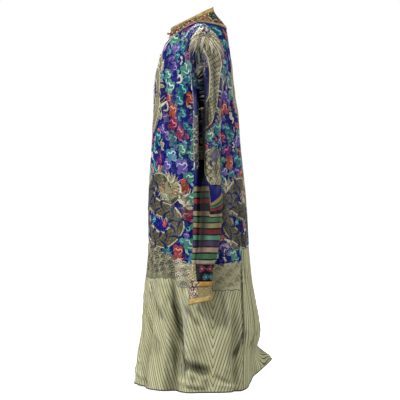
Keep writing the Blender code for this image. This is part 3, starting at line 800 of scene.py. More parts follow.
class Term:
    """A number or colour of the node tree, with the arithmetic that shader formulas need."""

    __add__ = maths("ADD")
    __radd__ = maths("ADD", swapped=True)
    __sub__ = maths("SUBTRACT")
    __rsub__ = maths("SUBTRACT", swapped=True)
    __mul__ = maths("MULTIPLY")
    __rmul__ = maths("MULTIPLY", swapped=True)
    __truediv__ = maths("DIVIDE")
    __pow__ = maths("POWER")
    fraction = maths("FRACT")
    floor = maths("FLOOR")
    sine = maths("SINE")
    size = maths("ABSOLUTE")
    root = maths("SQRT")
    above = maths("GREATER_THAN")
    below = maths("LESS_THAN")
    least = maths("MINIMUM")
    most = maths("MAXIMUM")

    def __init__(self, nodes, socket):
        self.nodes = nodes
        self.socket = socket

    def ease(self, low, high):
        """0 below low, 1 above high, smooth between."""
        settings = {"interpolation_type": "SMOOTHSTEP"}
        values = [("Value", self), ("From Min", low), ("From Max", high)]
        return self.nodes.node("ShaderNodeMapRange", settings, values)

    def wave(self, rate):
        """Wave between 0 and 1, at a rate in radians for each metre."""
        return (self * rate).sine() * 0.5 + 0.5


# %% [markdown]
# A finish is one material. Numbers that are the same everywhere sit on the shader's own sockets,
# and colour and raised threads come from nodes. Shade is painted into the troughs of the cloth,
# and a painted highlight makes its ridges a little paler.


# %% Finishes
def shade(red, green, blue):
    """Linear colour of a display colour given from 0 to 255."""
    return tuple(((value / 255.0 + 0.055) / 1.055) ** 2.4 if value > 10 else value / 3294.6
                 for value in (red, green, blue))


# Painted shade for the troughs of the cloth and painted highlight for its ridges.
PAINTED_TROUGH_SHADE = shade(14, 15, 12)
PAINTED_RIDGE_HIGHLIGHT = shade(222, 220, 204)
RIDGE_HIGHLIGHT_SHARE = 0.14


def set_stops(ramp, stops):
    """Give a colour ramp its stops, each colour kept up to the next."""
    ramp.interpolation = "CONSTANT"
    for index, (place, colour) in ((0, stops[0]), (1, stops[-1])):
        ramp.elements[index].position = place
        ramp.elements[index].color = (*colour, 1.0)
    for place, colour in stops[1:-1]:
        ramp.elements.new(place).color = (*colour, 1.0)


class Finish:
    """A material with its Principled shader and short ways to add nodes to it."""

    def __init__(self, name, roughness, metallic=0.0, sheen=0.0, gloss=0.12):
        self.material = bpy.data.materials.new(name)
        self.material.use_nodes = True
        self.tree = self.material.node_tree
        self.shader = self.tree.nodes["Principled BSDF"]
        self.fix({"Roughness": roughness, "Metallic": metallic, "Specular IOR Level": gloss,
                  "Sheen Weight": sheen, "Sheen Roughness": 0.4})

    def fix(self, values):
        """Set constants on the shader's own sockets."""
        for key, value in values.items():
            self.shader.inputs[key].default_value = value

    def node(self, kind, settings, values, out=0):
        """Add a node: its settings first, then the values or links of its sockets."""
        made = self.tree.nodes.new(kind)
        for key, value in settings.items():
            if key == "stops":
                set_stops(made.color_ramp, value)
            else:
                setattr(made, key, value)
        for key, value in values:
            if isinstance(value, Term):
                self.tree.links.new(value.socket, made.inputs[key])
            else:
                made.inputs[key].default_value = value
        return Term(self, made.outputs[out])

    def split(self, vector):
        """The three numbers of a vector."""
        first = self.node("ShaderNodeSeparateXYZ", {}, [(0, vector)])
        return [Term(self, output) for output in first.socket.node.outputs]

    def place(self):
        """Metres across and up the cloth, from the UV map."""
        return self.split(self.node("ShaderNodeTexCoord", {}, [], out="UV"))[:2]

    def solid_place(self):
        """Place in space, on the object's own coordinates."""
        return self.node("ShaderNodeTexCoord", {}, [], out="Object")

    def vector(self, x, y):
        """Vector from two numbers."""
        return self.node("ShaderNodeCombineXYZ", {}, [(0, x), (1, y), (2, 0.0)])

    def noise(self, where, scale, detail=2.0):
        """Soft noise from 0 to 1."""
        return self.node("ShaderNodeTexNoise", {}, [("Vector", where), ("Scale", scale), ("Detail", detail)])

    def mix(self, share, first, second):
        """Colour between two colours."""
        values = [(0, share)]
        for socket, colour in ((6, first), (7, second)):
            values.append((socket, colour if isinstance(colour, Term) else (*colour, 1.0)))
        return self.node("ShaderNodeMix", {"data_type": "RGBA"}, values, out=2)

    def ramp(self, where, stops):
        """Colour from a list of places and colours."""
        return self.node("ShaderNodeValToRGB", {"stops": stops}, [(0, where)])

    def fold_shaded(self, colour, share=0.7):
        """Colour with painted shade in the troughs of the cloth and a little painted highlight on its ridges.
        """
        trough = self.node("ShaderNodeAttribute", {"attribute_name": "trough"}, [], out="Fac")
        darker = self.mix(trough.most(0.0) * share, colour, PAINTED_TROUGH_SHADE)
        return self.mix((0.0 - trough).most(0.0) * RIDGE_HIGHLIGHT_SHARE, darker, PAINTED_RIDGE_HIGHLIGHT)

    def finish(self, colour, height, depth):
        """Link the colour and the raised threads to the shader."""
        raised = self.node("ShaderNodeBump", {}, [("Distance", depth), ("Strength", 1.0), ("Height", height)])
        self.tree.links.new(colour.socket, self.shader.inputs["Base Color"])
        self.tree.links.new(raised.socket, self.shader.inputs["Normal"])
        print(self.material.name, len(self.tree.nodes), "nodes")
        return self.material


# %% [markdown]
# The ground of the robe is one woven silk: deep blue, a band of fine waves under a wavy line, and
# below it the standing water, slanting stripes that meet in a V under each arm. An image could hold
# it all, but formulas on the place on the cloth stay sharp at any distance.

# %% Thread colours
NAVY = shade(5, 14, 104)
DEEP_BLUE = shade(2, 8, 80)
SLATE = shade(70, 80, 116)
STRAW = shade(182, 180, 138)
PALE_STRAW = shade(206, 204, 168)
OLIVE = shade(70, 69, 42)
GREY_GOLD = shade(152, 150, 116)
DARK_LINE = shade(72, 72, 66)
WARM_GOLD = shade(160, 136, 80)
BRIGHT_GOLD = shade(200, 176, 114)
ORANGE_GOLD = shade(170, 130, 66)
CREAM = shade(226, 220, 190)
BLACK = shade(12, 12, 18)
PALE_BLUE = shade(206, 212, 208)
COOL_GREY = shade(138, 140, 140)

# %% Where the waves and the stripes begin
FRONT_WATER = -0.920
FRONT_WATER_RISE = 0.44
FRONT_WATER_END = 0.23
BACK_WATER = -0.884
BACK_WATER_RISE = 0.09
PANEL_WATER_RISE = 0.055
PANEL_SEAM = 0.126
FRONT_STRIPES = -0.957
FRONT_STRIPES_RISE = 0.030
FOLD_EDGE = 0.125
FOLD_EASE = 0.015
BACK_STRIPES = -0.965
PANEL_STRIPES_RISE = 0.142
SLANT = 0.33
STRIPE = 0.0108
SHELL = 0.0085
THREADS = 5200.0


# %% Ground silk
def plain_weave(u, v):
    """Height of the threads of a plain weave, which cross over and under each other."""
    return (u * THREADS).sine() * (v * THREADS).sine()


def ground_silk():
    """Blue field, wave band and striped water, by the place on the cloth."""
    silk = Finish("ground silk", 0.5, gloss=0.08)
    u, v = silk.place()
    where = silk.vector(u, v)
    side = u.size()
    drift = silk.noise(where, 9.0, 1.0)
    fine = silk.noise(where, 60.0, 2.0)

    # field: navy with faint cloud wisps
    wisps = (silk.noise(where, 42.0, 1.0) - 0.5).size().below(0.018)
    field = silk.mix(drift.ease(0.3, 0.7), DEEP_BLUE, NAVY)
    field = silk.mix(wisps * 0.55, field, SLATE)

    # where the waves start: lower beside the seam in front, rising at centre back
    front = u.below(0.0)
    vent_panel = side.ease(PANEL_SEAM - 0.002, PANEL_SEAM + 0.002)
    front_line = FRONT_WATER + FRONT_WATER_RISE * side.least(FRONT_WATER_END)
    back_line = BACK_WATER + BACK_WATER_RISE * side.least(PANEL_SEAM) + PANEL_WATER_RISE * vent_panel
    scallop = ((u * 90.0).sine().size() - 0.5) * 0.008 + (drift - 0.5) * 0.02
    below_line = front * front_line + (1.0 - front) * back_line + scallop - v
    water = below_line.above(0.0)
    crest = below_line.size().below(0.0022)

    # wave band: rows of small shells, each of two rings
    row = (v / SHELL).floor()
    shift = (row * 0.5).fraction()
    shell_x = ((u / (1.8 * SHELL) + shift + (fine - 0.5) * 0.9).fraction() - 0.5) * 2.0
    shell_y = (v / SHELL + (fine - 0.5) * 0.7).fraction()
    reach = (shell_x * shell_x + shell_y * shell_y * 1.2).root()
    ring_line = ((reach * 2.6).fraction() - 0.5).size().below(0.2)
    waves = silk.mix(ring_line, GREY_GOLD, DARK_LINE)
    waves = silk.mix(fine.ease(0.45, 0.65) * 0.5, waves, STRAW)
    waves = silk.mix(front * drift.ease(0.35, 0.65) * 0.6, waves, DARK_LINE)
    waves = silk.mix((1.0 - front) * 0.45, waves, PALE_STRAW)
    before_fold = side.ease(FOLD_EDGE, FOLD_EDGE + FOLD_EASE)
    # painted highlight on the wave band's ridge before the front fold, and painted shade in the fold just
    # beyond it
    waves = silk.mix(front * (1.0 - before_fold) * 0.24, waves, PALE_BLUE)
    waves = silk.mix(front * before_fold * (1.0 - side.ease(0.24, 0.28)) * 0.32, waves, DARK_LINE)

    # standing water: stripes that slant to the side seam, straighten towards centre back
    # and turn outwards on the flap of the back hem
    fall = v + 0.9
    across = side - SLANT * (1.0 - (1.0 - front) * vent_panel * 0.9) * fall
    flap = (1.0 - front) * side.ease(0.24, 0.34) * (1.0 - v.ease(-1.24, -1.14))
    across = across + (v + 1.50 - across) * flap + (silk.noise(where, 5.0, 1.0) - 0.5) * 0.008
    place = (across / STRIPE).fraction()
    tone = ((across / STRIPE).floor() * 0.37).fraction()
    edge = (place - 0.5).size()
    light = silk.mix(tone, STRAW, PALE_STRAW)
    light = silk.mix((edge - 0.16).size().below(0.035) * 0.45, light, GREY_GOLD)
    stripes = silk.mix((edge + flap * 0.08).ease(0.33, 0.42), light, OLIVE)
    front_start = FRONT_STRIPES + FRONT_STRIPES_RISE * before_fold
    back_start = BACK_STRIPES + PANEL_STRIPES_RISE * vent_panel
    start = front * front_start + (1.0 - front) * back_start + scallop * 0.5
    lower = silk.mix((v - start).ease(-0.001, 0.002), stripes, waves)
    lower = silk.mix((v - start).size().below(0.0012), lower, DARK_LINE)

    # a pale blue-white patch at the front hem, painted sheen by the front fold, a dark line on the back
    # panel's seam, a painted highlight on the front and tones that vary at random
    lower = silk.mix(front * side.ease(0.36, 0.41) * (1.0 - v.ease(-1.27, -1.20)) * 0.6, lower, PALE_BLUE)
    # painted sheen: a grey strip along the turned face of the front fold
    fold_sheen = (side - 0.105 + (v + 1.15) * 0.05).size().below(0.012) * v.ease(-1.27, -1.20)
    lower = silk.mix(front * fold_sheen * (1.0 - v.ease(-1.01, -0.98)) * 0.5, lower, COOL_GREY)
    seam = (1.0 - front) * (side - PANEL_SEAM).size().below(0.0016) * v.below(-0.80)
    lower = silk.mix(seam * 0.45, lower, DARK_LINE)
    # painted highlight on the front of the skirt, where the light falls
    painted_highlight = (1.0 - ((side - 0.082) / 0.045) ** 2.0 - ((v + 1.01) / 0.075) ** 2.0).ease(0.0, 0.7)
    lower = silk.mix(front * painted_highlight * 0.20, lower, PALE_STRAW)
    lower = silk.mix(drift.ease(0.3, 0.75) * 0.30, lower, GREY_GOLD)
    lower = silk.mix(silk.noise(where, 14.0, 3.0).ease(0.50, 0.72) * 0.30, lower, OLIVE)

    colour = silk.mix(water, field, lower)
    colour = silk.mix(crest, colour, PALE_STRAW)
    height = plain_weave(u, v) * 0.35 + fine * 0.5 + water * (0.5 - edge) * 0.8
    # painted shade in the troughs, painted highlight on the ridges
    return silk.finish(silk.fold_shaded(colour), height, 0.00025)


ground = ground_silk()

# %% [markdown]
# Each half of the robe is one length of cloth that runs from the front hem over the shoulder to
# the back hem, with the top of the sleeve. Its grid follows the same curves as the CAD wall.

# %% Distances on the cloth
GIRTH_PARTS = 48


@lru_cache(maxsize=4000)
def girth_steps(side, face, level):
    """Distances round one quarter of the body from the side seam, at a level in centimetres."""
    height = max(HEM, min(UNDERARM, -0.01 * level))
    distance = 0.0
    found = [0.0]
    last = ring_point(side, face, 1.0, height)
    for i in range(1, GIRTH_PARTS + 1):
        point = ring_point(side, face, 1.0 - i / GIRTH_PARTS, height)
        distance += (point - last).length
        found.append(distance)
        last = point
    return found


def girth_at(side, face, height):
    """Distances round one quarter of the body, at the nearest whole centimetre."""
    return girth_steps(side, face, round(-100.0 * height))


def from_side_seam(side, face, across, height):
    """Distance along the cloth from the side seam."""
    found = girth_at(side, face, height)
    place = (1.0 - across) * GIRTH_PARTS
    low = min(GIRTH_PARTS - 1, int(place))
    return found[low] + (found[low + 1] - found[low]) * (place - low)


def cloth_height(side, face, across, rise):
    """Height on the flat cloth, which runs on over the shoulder."""
    if rise <= 1.0:
        hem = hem_height(side, face, across)
        return hem + (UNDERARM - hem) * rise
    return UNDERARM + UPPER_LENGTH[face] * (rise - 1.0)


# %% Panels of a front or back
FOLD_SHADE_SHARE = 0.3


def panel_patch(side, face, point, rise_of, columns, rows, sign):
    """Patch of one front or back. rise_of gives the rise of a point from its column and row."""

    def surface(across, v):
        return point(face, across, rise_of(across, v))

    def place(across, v):
        height = cloth_height(side, face, across, rise_of(across, v))
        return (sign * from_side_seam(side, face, across, height), height)

    def push(across, v, found):
        return crease_push(side, face, abs(found[0]), found[1])

    # Depth of the large folds that deepens the painted shade in their troughs.
    def form(across, v):
        turn = 0.5 * across if face < 0 else 1.0 - 0.5 * across
        return FOLD_SHADE_SHARE * fold_depth(side, turn, cloth_height(side, face, across, rise_of(across, v)))

    return Patch(surface, place, columns, rows, push, form)


# %% Top of the sleeve
CAP_START = 0.6
CAP_GIRTH = 0.30
CAP_TOP = -0.17
CAP_DROP = 0.19
# Place and half width of a line of painted shade down the front of the sleeve's top.
CAP_SHADE_PLACE = 0.36
CAP_SHADE_WIDTH = 0.07


def cap_patches(side, turns):
    """Top of the sleeve, from the armhole to the plain section."""
    drop = PLAIN_TOP - SLEEVE_HANG

    def hanging(turn, v):
        return sleeve_section(turn, SLEEVE_HANG + (PLAIN_TOP + 0.5 * SEAM - SLEEVE_HANG) * v)

    def cap_place(turn, v):
        return (CAP_START + turn * CAP_GIRTH, CAP_TOP - CAP_DROP * v)

    def hanging_place(turn, v):
        return (CAP_START + turn * CAP_GIRTH, SLEEVE_HANG + drop * v)

    def push(turn, v, found):
        return sleeve_push(turn, found[1], CAP_GIRTH) * smooth(v * 3.0 + found[1] * -4.0 - 0.7)

    # Painted shade: the valley's shade fades in over the cap, and a line of painted shade runs down its
    # front, where the body tucks in behind the sleeve.
    def cap_shade_depth(turn, v):
        painted_shade_line = TROUGH_DEPTH * bump(turn - CAP_SHADE_PLACE, CAP_SHADE_WIDTH) * smooth(v * 4.0)
        return valley_shade_depth(turn, SLEEVE_HANG) * smooth(v * 1.3) - painted_shade_line * smooth((0.85 - v) * 4.0)

    # painted shade in the sleeve's valley
    def hanging_shade_depth(turn, v):
        return valley_shade_depth(turn, SLEEVE_HANG + drop * v)

    return [Patch(partial(cap_point, side), cap_place, turns, steps(count_for(0.20)), push, cap_shade_depth),
            Patch(hanging, hanging_place, turns, steps(count_for(-drop)), push, hanging_shade_depth)]


# %% Both halves
def make_half(side, name, point):
    """One half of the robe as a creased cloth."""
    neck = steps(count_for(0.14), 0.0, NECK_SHARE)
    columns = neck + steps(count_for(0.30), NECK_SHARE, 1.0)[1:]
    up = count_for(0.25)
    patches = []
    for face in (-1, 1):
        for start, rows in ((0.0, steps(count_for(1.0))), (1.0, steps(up))):
            patches.append(panel_patch(side, face, point, lambda across, v, start=start: start + v,
                                       columns, rows, face))
    patches += cap_patches(side, steps(2 * up))
    return cloth(f"{name}_cloth", patches, side, ground, (0.05 * side, 0.0, -0.7), name)


left_half = make_half(1, "left_half", left_point)
right_half = make_half(-1, "right_half", right_half_point)

# %% [markdown]
# The bands at the neck and the closing edge are dark silk with small woven sprigs. Noise cut off at
# a level gives the sprigs, and a colour ramp gives the ground, which changes along the band.

# %% Band silk
NECK_GIRTH = 0.46
CLOSING_ZONES = (
    (0.0, shade(30, 38, 34)), (0.42, shade(84, 66, 48)), (0.50, shade(70, 40, 52)),
    (0.58, shade(34, 44, 40)), (1.0, shade(34, 44, 40)),
)
NECK_ZONES = (
    (0.0, shade(118, 44, 56)), (0.08, shade(62, 34, 40)), (0.34, shade(88, 74, 54)),
    (0.56, shade(100, 90, 62)), (0.74, shade(30, 40, 36)), (0.92, shade(130, 52, 62)),
    (0.97, shade(92, 90, 56)), (1.0, shade(92, 90, 56)),
)
SPRIG_COLOURS = (
    (0.0, shade(188, 70, 92)), (0.42, shade(206, 198, 160)), (0.52, shade(150, 128, 74)),
    (0.62, shade(88, 138, 112)), (1.0, CREAM),
)


def band_silk(name, zones, round_neck):
    """Dark band with small woven sprigs in cream, rose, green and gold."""
    silk = Finish(name, 0.45, sheen=0.04)
    u, v = silk.place()
    where = silk.vector(u, v)
    zone = silk.noise(silk.vector(u, 0.0), 16.0, 0.0)
    if round_neck:
        zone = u.least(NECK_GIRTH - u) / (0.5 * NECK_GIRTH) + (zone - 0.5) * 0.05
    base = silk.ramp(zone, zones)
    sprig = silk.noise(where, 150.0, 1.0)
    sprigs = silk.ramp(silk.noise(where, 46.0, 0.0), SPRIG_COLOURS)
    colour = silk.mix(sprig.above(0.56), base, sprigs)
    colour = silk.mix(sprig.below(0.36), colour, BLACK)
    if round_neck:
        front = 1.0 - zone.ease(0.30, 0.40)
        colour = silk.mix((v - 0.0405).size().below(0.0012) * front, colour, shade(176, 152, 92))
        colour = silk.mix((v - 0.0440).size().below(0.0016) * front, colour, shade(74, 20, 26))
    return silk.finish(colour, sprig + plain_weave(u, v) * 0.2, 0.0004)


closing_silk = band_silk("closing band silk", CLOSING_ZONES, False)
neck_silk = band_silk("neck band silk", NECK_ZONES, True)

# %% [markdown]
# Gold thread is gilded paper wound round a silk core. Thousands of threads would be slow as meshes,
# so waves in the shader give the close diagonal turns. Round the neck the gold splits into two thin
# lines towards the front.

# %% Gold thread
BINDING_LOW = 0.0470
BINDING_TAPER = 0.0075
BINDING_LINE = 0.0022


def gold_thread(name, gloss, sheen=0.0, at_neck=False):
    """Wound gold thread laid in close diagonal rows."""
    gold = Finish(name, 0.42, metallic=0.15, sheen=sheen, gloss=gloss)
    u, v = gold.place()
    twist = (u + v).wave(2600.0)
    wear = gold.noise(gold.vector(u, v), 60.0, 3.0)
    colour = gold.mix(wear.ease(0.3, 0.75), WARM_GOLD, BRIGHT_GOLD)
    if at_neck:
        from_front = u.least(NECK_GIRTH - u)
        width = BINDING_LOW + BINDING_TAPER * (1.0 - from_front.ease(0.02, 0.17))
        colour = gold.mix(v.below(width), colour, shade(58, 24, 26))
        colour = gold.mix(v.below(width - BINDING_LINE), colour, shade(176, 150, 92))
    else:
        colour = gold.mix((1.0 - twist) * 0.35, colour, ORANGE_GOLD)
    return gold.finish(colour, twist + wear * 0.6, 0.0003)


gold = gold_thread("gold thread", 0.3, sheen=0.05)
binding_gold = gold_thread("neck binding gold", 0.25, at_neck=True)

# %% [markdown]
# The outer right front laps over the right half as far as the right side. Its closing edge runs
# in an S from the neck to under the arm, under a patterned band with a gold piping. Band and piping
# are laid on the same curves as the front, each a wall higher.


# %% Outer right front and its closing band
def outer_front_rise(across, v):
    """Rise of the outer front: v runs 0 to 1 up to the band's lower edge, then 1 to 2 on it."""
    if v <= 1.0:
        return lowered(edge_rise(across), EDGE_BAND_WIDTH) * v
    return lowered(edge_rise(across), EDGE_BAND_WIDTH * (2.0 - v))


def closing_cloth(node, ending, rows, material, layer=0.0):
    """Cloth on some rows of the outer right front, some walls above it."""
    columns = steps(count_for(0.42), 0.0, EDGE_ACROSS_END)
    patch = panel_patch(-1, -1, outer_point, outer_front_rise, columns, rows, -1)
    return cloth(f"{node}_{ending}", [patch], -1, material, (-0.05, 0.1, -0.7), node,
                 raise_by=layer * (WALL + LYING_GAP))


band_rows = steps(count_for(EDGE_BAND_WIDTH), 1.0, 2.0)
front_rows = steps(count_for(1.05)) + band_rows[1:]
piping_rows = steps(2, 1.0, 1.18)
outer_front = closing_cloth("outer_right_front", "cloth", front_rows, ground)
closing_band = closing_cloth("closing_band", "cloth", band_rows, closing_silk, 1.0)
closing_piping = closing_cloth("closing_piping", "thread", piping_rows, gold, 2.0)

# %% [markdown]
# The neck band is a shaped ring of the patterned silk. A thick gold binding covers its neck edge
# and a thin gold piping its outer line.

# %% Neck band
NECK_BAND_HEIGHT = 0.06


def neck_point(turn, share):
    """Neck band on both sides, turn 0 and 1 at centre front, without the half seam of on_side."""
    point = collar_point(2.0 * min(turn, 1.0 - turn), share)
    if turn > 0.5:
        point.x = -point.x
    return point - Vector((0.5 * SEAM, 0.0, 0.0))


def neck_place(turn, share):
    """Place on the flat neck band."""
    return (turn * NECK_GIRTH, share * NECK_BAND_HEIGHT)


def neck_cloth(name, node, rows, material, wall=WALL, raise_by=0.0):
    """A ring of cloth of the neck for some of its rows."""
    turns = steps(count_for(0.6), NECK_SLIT_TURN, 1.0 - NECK_SLIT_TURN)
    patch = Patch(neck_point, neck_place, turns, rows)
    return cloth(name, [patch], 1, material, (0.0, -0.02, -0.12), node, wall, raise_by)


neck_rows = steps(10, 0.0, BINDING_START - BINDING_PARTING)
binding_rows = steps(4, BINDING_START, 1.0)
neck_band = neck_cloth("neck_band_cloth", "neck_band", neck_rows, neck_silk)
neck_binding = neck_cloth("neck_binding_thread", "neck_binding", binding_rows, binding_gold,
                          BINDING_WALL)
neck_piping = neck_cloth("neck_piping_thread", "neck_piping", steps(2, 0.0, PIPING_SHARE), gold,
                         WALL, WALL + LYING_GAP)

# %% [markdown]
# Each sleeve is sewn from four sections: plain blue silk, a woven striped length, a black band
# with flowers at the wrist and the flared horse-hoof cuff. Each has a silk of its own.

# %% Plain and striped silk
STRIPE_COLOURS = (
    shade(150, 130, 100), shade(72, 112, 84), shade(142, 44, 54), shade(16, 20, 38),
    shade(160, 140, 110), shade(70, 116, 84), shade(150, 138, 96), shade(116, 36, 42),
    shade(82, 140, 112), shade(64, 44, 84), shade(166, 140, 122), shade(66, 116, 78),
    shade(168, 156, 132),
)
BLACK_SHARE = 0.24
PLEAT_SHIFT = 0.058
PLEAT_SLOPE = 0.7
PLEAT_PLACE = 0.146


def plain_silk():
    """Plain deep blue silk."""
    silk = Finish("plain blue silk", 0.45, gloss=0.1)
    u, v = silk.place()
    wear = silk.noise(silk.vector(u, v), 18.0, 2.0)
    colour = silk.mix(wear.ease(0.3, 0.7), shade(3, 10, 82), shade(6, 18, 112))
    # painted shade in the troughs, painted highlight on the ridges
    return silk.finish(silk.fold_shaded(colour, 0.92), plain_weave(u, v) + wear * 0.5, 0.0002)


def striped_silk():
    """Woven stripes across the sleeve with black lines between them, which step at the pleat."""
    silk = Finish("striped silk", 0.45, sheen=0.04)
    u, v = silk.place()
    where = silk.vector(u, v)
    behind = u.ease(PLEAT_PLACE - 0.004, PLEAT_PLACE) * (1.0 - u.ease(0.25, 0.27))
    pleated = v + behind * v.ease(-0.72, -0.66) * (PLEAT_SHIFT - PLEAT_SLOPE * (u - PLEAT_PLACE))
    uneven = (silk.noise(where, 16.0, 1.0) - 0.5) * 0.008
    place = (STRIPE_TOP - pleated + uneven) / (STRIPE_TOP - FLOWER_TOP)
    count = len(STRIPE_COLOURS)
    stops = []
    for i, colour in enumerate(STRIPE_COLOURS):
        stops.append((i / count, BLACK if i else shade(10, 16, 90)))
        stops.append(((i + BLACK_SHARE) / count, colour))
    colour = silk.ramp(place, stops)
    colour = silk.mix(place.below(0.5 * BLACK_SHARE / count), colour, shade(10, 16, 100))
    threads = v.wave(3900.0)
    colour = silk.mix(threads * silk.noise(where, 120.0, 2.0) * 0.45, colour, shade(40, 40, 44))
    # painted shade in the troughs, painted highlight on the ridges
    return silk.finish(silk.fold_shaded(colour, 0.85), threads + silk.noise(where, 90.0, 2.0), 0.0003)


plain_blue = plain_silk()
striped = striped_silk()

# %% Black satin and gold brocade
WEDGE_PLACE = 0.127
WEDGE_SLOPE = 0.26


def satin(silk, where):
    """Wear of black satin, and its colour."""
    wear = silk.noise(where, 70.0, 2.0)
    return wear, silk.mix(wear.ease(0.4, 0.8), shade(10, 10, 16), shade(26, 30, 36))


def flower_satin():
    """Black satin of the wrist, with a wedge of the cuff's specked brocade at the front."""
    silk = Finish("flower band satin", 0.4)
    u, v = silk.place()
    where = silk.vector(u, v)
    wear, black = satin(silk, where)
    wedge = (WEDGE_PLACE - WEDGE_SLOPE * (v - CUFF_TOP) - u).above(0.0) * u.above(0.02)
    speck = silk.noise(where, 190.0, 1.0)
    cloth_of_gold = silk.mix(speck.above(0.56), shade(150, 134, 96), shade(206, 196, 158))
    cloth_of_gold = silk.mix(speck.below(0.42) * 0.8, cloth_of_gold, shade(52, 44, 38))
    # painted shade in the troughs, painted highlight on the ridges
    return silk.finish(silk.fold_shaded(silk.mix(wedge, black, cloth_of_gold)), wear + speck, 0.0003)


def cuff_brocade(name, back, front_end):
    """Gold brocade of the cuff, specked with dark, rose and cream towards the front."""
    silk = Finish(name, 0.45, metallic=0.1)
    u, v = silk.place()
    where = silk.vector(u, v)
    speck = silk.noise(where, 170.0, 1.0)
    tint = silk.noise(where, 70.0, 0.0)
    front = 1.0 - u.ease(front_end, front_end + 0.012)
    base = silk.mix(front, back, shade(118, 104, 88))
    threads = silk.mix(tint.ease(0.45, 0.55), shade(186, 150, 142), shade(200, 190, 152))
    colour = silk.mix(speck.above(0.60 - 0.08 * front) * (0.4 + 0.5 * front), base, threads)
    colour = silk.mix(speck.below(0.36 + 0.10 * front) * (0.35 + 0.6 * front), colour, shade(30, 24, 28))
    # painted shade in the troughs, painted highlight on the ridges
    return silk.finish(silk.fold_shaded(colour), speck, 0.0004)


black_satin = flower_satin()
brocade = cuff_brocade("cuff brocade", shade(140, 128, 86), 0.128)
cuff_top = cuff_brocade("cuff top", shade(170, 128, 60), 0.110)

# %% [markdown]
# The sections are tubes on the sleeve's curve, because plain cylinders wouldn't meet the walls of
# the CAD model. A gold edging goes round the top and the end of the cuff. Both sleeves have the same
# sections, so one table serves for both.

# %% Sleeve sections
SLEEVE_WIDTH = 0.28
CUFF_EDGE_CUT = (0.24, 0.018)


def sleeve_patch(top, bottom, point=sleeve_section):
    """Patch of one sleeve section, half a seam short at each end."""
    start = top - 0.5 * SEAM
    end = bottom + 0.5 * SEAM

    def height(v):
        return start + (end - start) * v

    return Patch(
        lambda turn, v: point(turn, height(v)),
        lambda turn, v: (turn * SLEEVE_WIDTH, height(v)),
        steps(2 * count_for(0.15)),
        steps(count_for(top - bottom)),
        lambda turn, v, found: sleeve_push(turn, found[1], SLEEVE_WIDTH),
        # painted shade in the sleeve's valley
        lambda turn, v: valley_shade_depth(turn, height(v)),
    )


def cuff_edge_patch(low):
    """Patch of an edging that starts at a share of the cuff's height."""
    height = CUFF_TOP - CUFF_END - 2 * SEAM

    def surface(turn, v):
        return cuff_point(turn, CUFF_TOP - SEAM - height * (low + CUFF_EDGE_SHARE * v))

    def place(turn, v):
        return (turn * CUFF_EDGE_CUT[0], v * CUFF_EDGE_CUT[1])

    return Patch(surface, place, steps(2 * count_for(0.15)), steps(3))


SleevePart = namedtuple("SleevePart", "node patch material slot flat ending wall raise_by",
                        defaults=("cloth", WALL, 0.0))
EDGE = ("thread", CUFF_EDGE_WALL, 0.5 * (WALL + CUFF_EDGE_WALL) + LYING_GAP)
CUFF = sleeve_patch(CUFF_TOP, CUFF_END, cuff_point)
CUFF_START = cuff_edge_patch(0.0)
CUFF_RIM = cuff_edge_patch(1.0 - CUFF_EDGE_SHARE)
PLAIN = sleeve_patch(PLAIN_TOP, STRIPE_TOP)
STRIPES = sleeve_patch(STRIPE_TOP, FLOWER_TOP)
FLOWERS = sleeve_patch(FLOWER_TOP, CUFF_TOP)
SLEEVE_PARTS = (
    SleevePart("plain_sleeve", PLAIN, plain_blue, "ground_silk", (0.340, 0.086)),
    SleevePart("striped_sleeve", STRIPES, striped, "striped_silk", (0.285, 0.270)),
    SleevePart("flower_band", FLOWERS, black_satin, "black_silk", (0.226, 0.058)),
    SleevePart("cuff", CUFF, brocade, "gold_thread", (0.226, 0.072)),
    SleevePart("cuff_top_edge", CUFF_START, cuff_top, "gold_thread", (0.232, 0.018), *EDGE),
    SleevePart("cuff_end_edge", CUFF_RIM, gold, "gold_thread", (0.240, 0.018), *EDGE),
)
SIDES = ((1, "left"), (-1, "right"))
for side, word in SIDES:
    for part in SLEEVE_PARTS:
        middle = 0.5 * (part.patch.point(0.0, 0.5) + part.patch.point(0.5, 0.5))
        centre = (side * middle.x, middle.y, middle.z)
        node = f"{word}_{part.node}"
        piece = cloth(f"{node}_{part.ending}", [part.patch], side, part.material, centre,
                      node, part.wall, part.raise_by)

# %% [markdown]
# A cord of dark silk closes the hem. It could be a round cord swept along a line, but a narrow strip
# on the curves of the cloth follows every fold.

# %% Hem cord
HEM_CORD = 0.0030
CORD_RISE = 0.0011


def hem_cord_silk():
    """Black satin, twisted along the hem."""
    silk = Finish("hem silk", 0.4, sheen=0.03)
    u, v = silk.place()
    wear, colour = satin(silk, silk.vector(u, v))
    return silk.finish(colour, (u * 4200.0).sine() * 0.4 + wear, 0.0002)


hem_silk = hem_cord_silk()
HEMS = (
    ("left", 1, ((-1, left_point, 1.0), (1, left_point, 1.0)), 0.0),
    ("right_back", -1, ((1, right_half_point, 0.9),), 0.0),
    ("right_front", -1, ((-1, outer_point, EDGE_ACROSS_END),), 0.1),
)
for word, side, parts, middle_y in HEMS:
    patches = [panel_patch(side, face, point, lambda across, v: HEM_CORD * v,
                           steps(count_for(0.42), 0.0, end), steps(2), 1)
               for face, point, end in parts]
    cloth(f"{word}_hem_cord", patches, side, hem_silk,
                            (0.05 * side, middle_y, -1.31), raise_by=CORD_RISE)

# %% [markdown]
# The dragons and clouds of such a robe are worked in bright silks over the ground. Floss silk takes
# its colour from an attribute of the mesh, which the drawing paints face by face. Gold thread is
# sewn down in rows of scales.


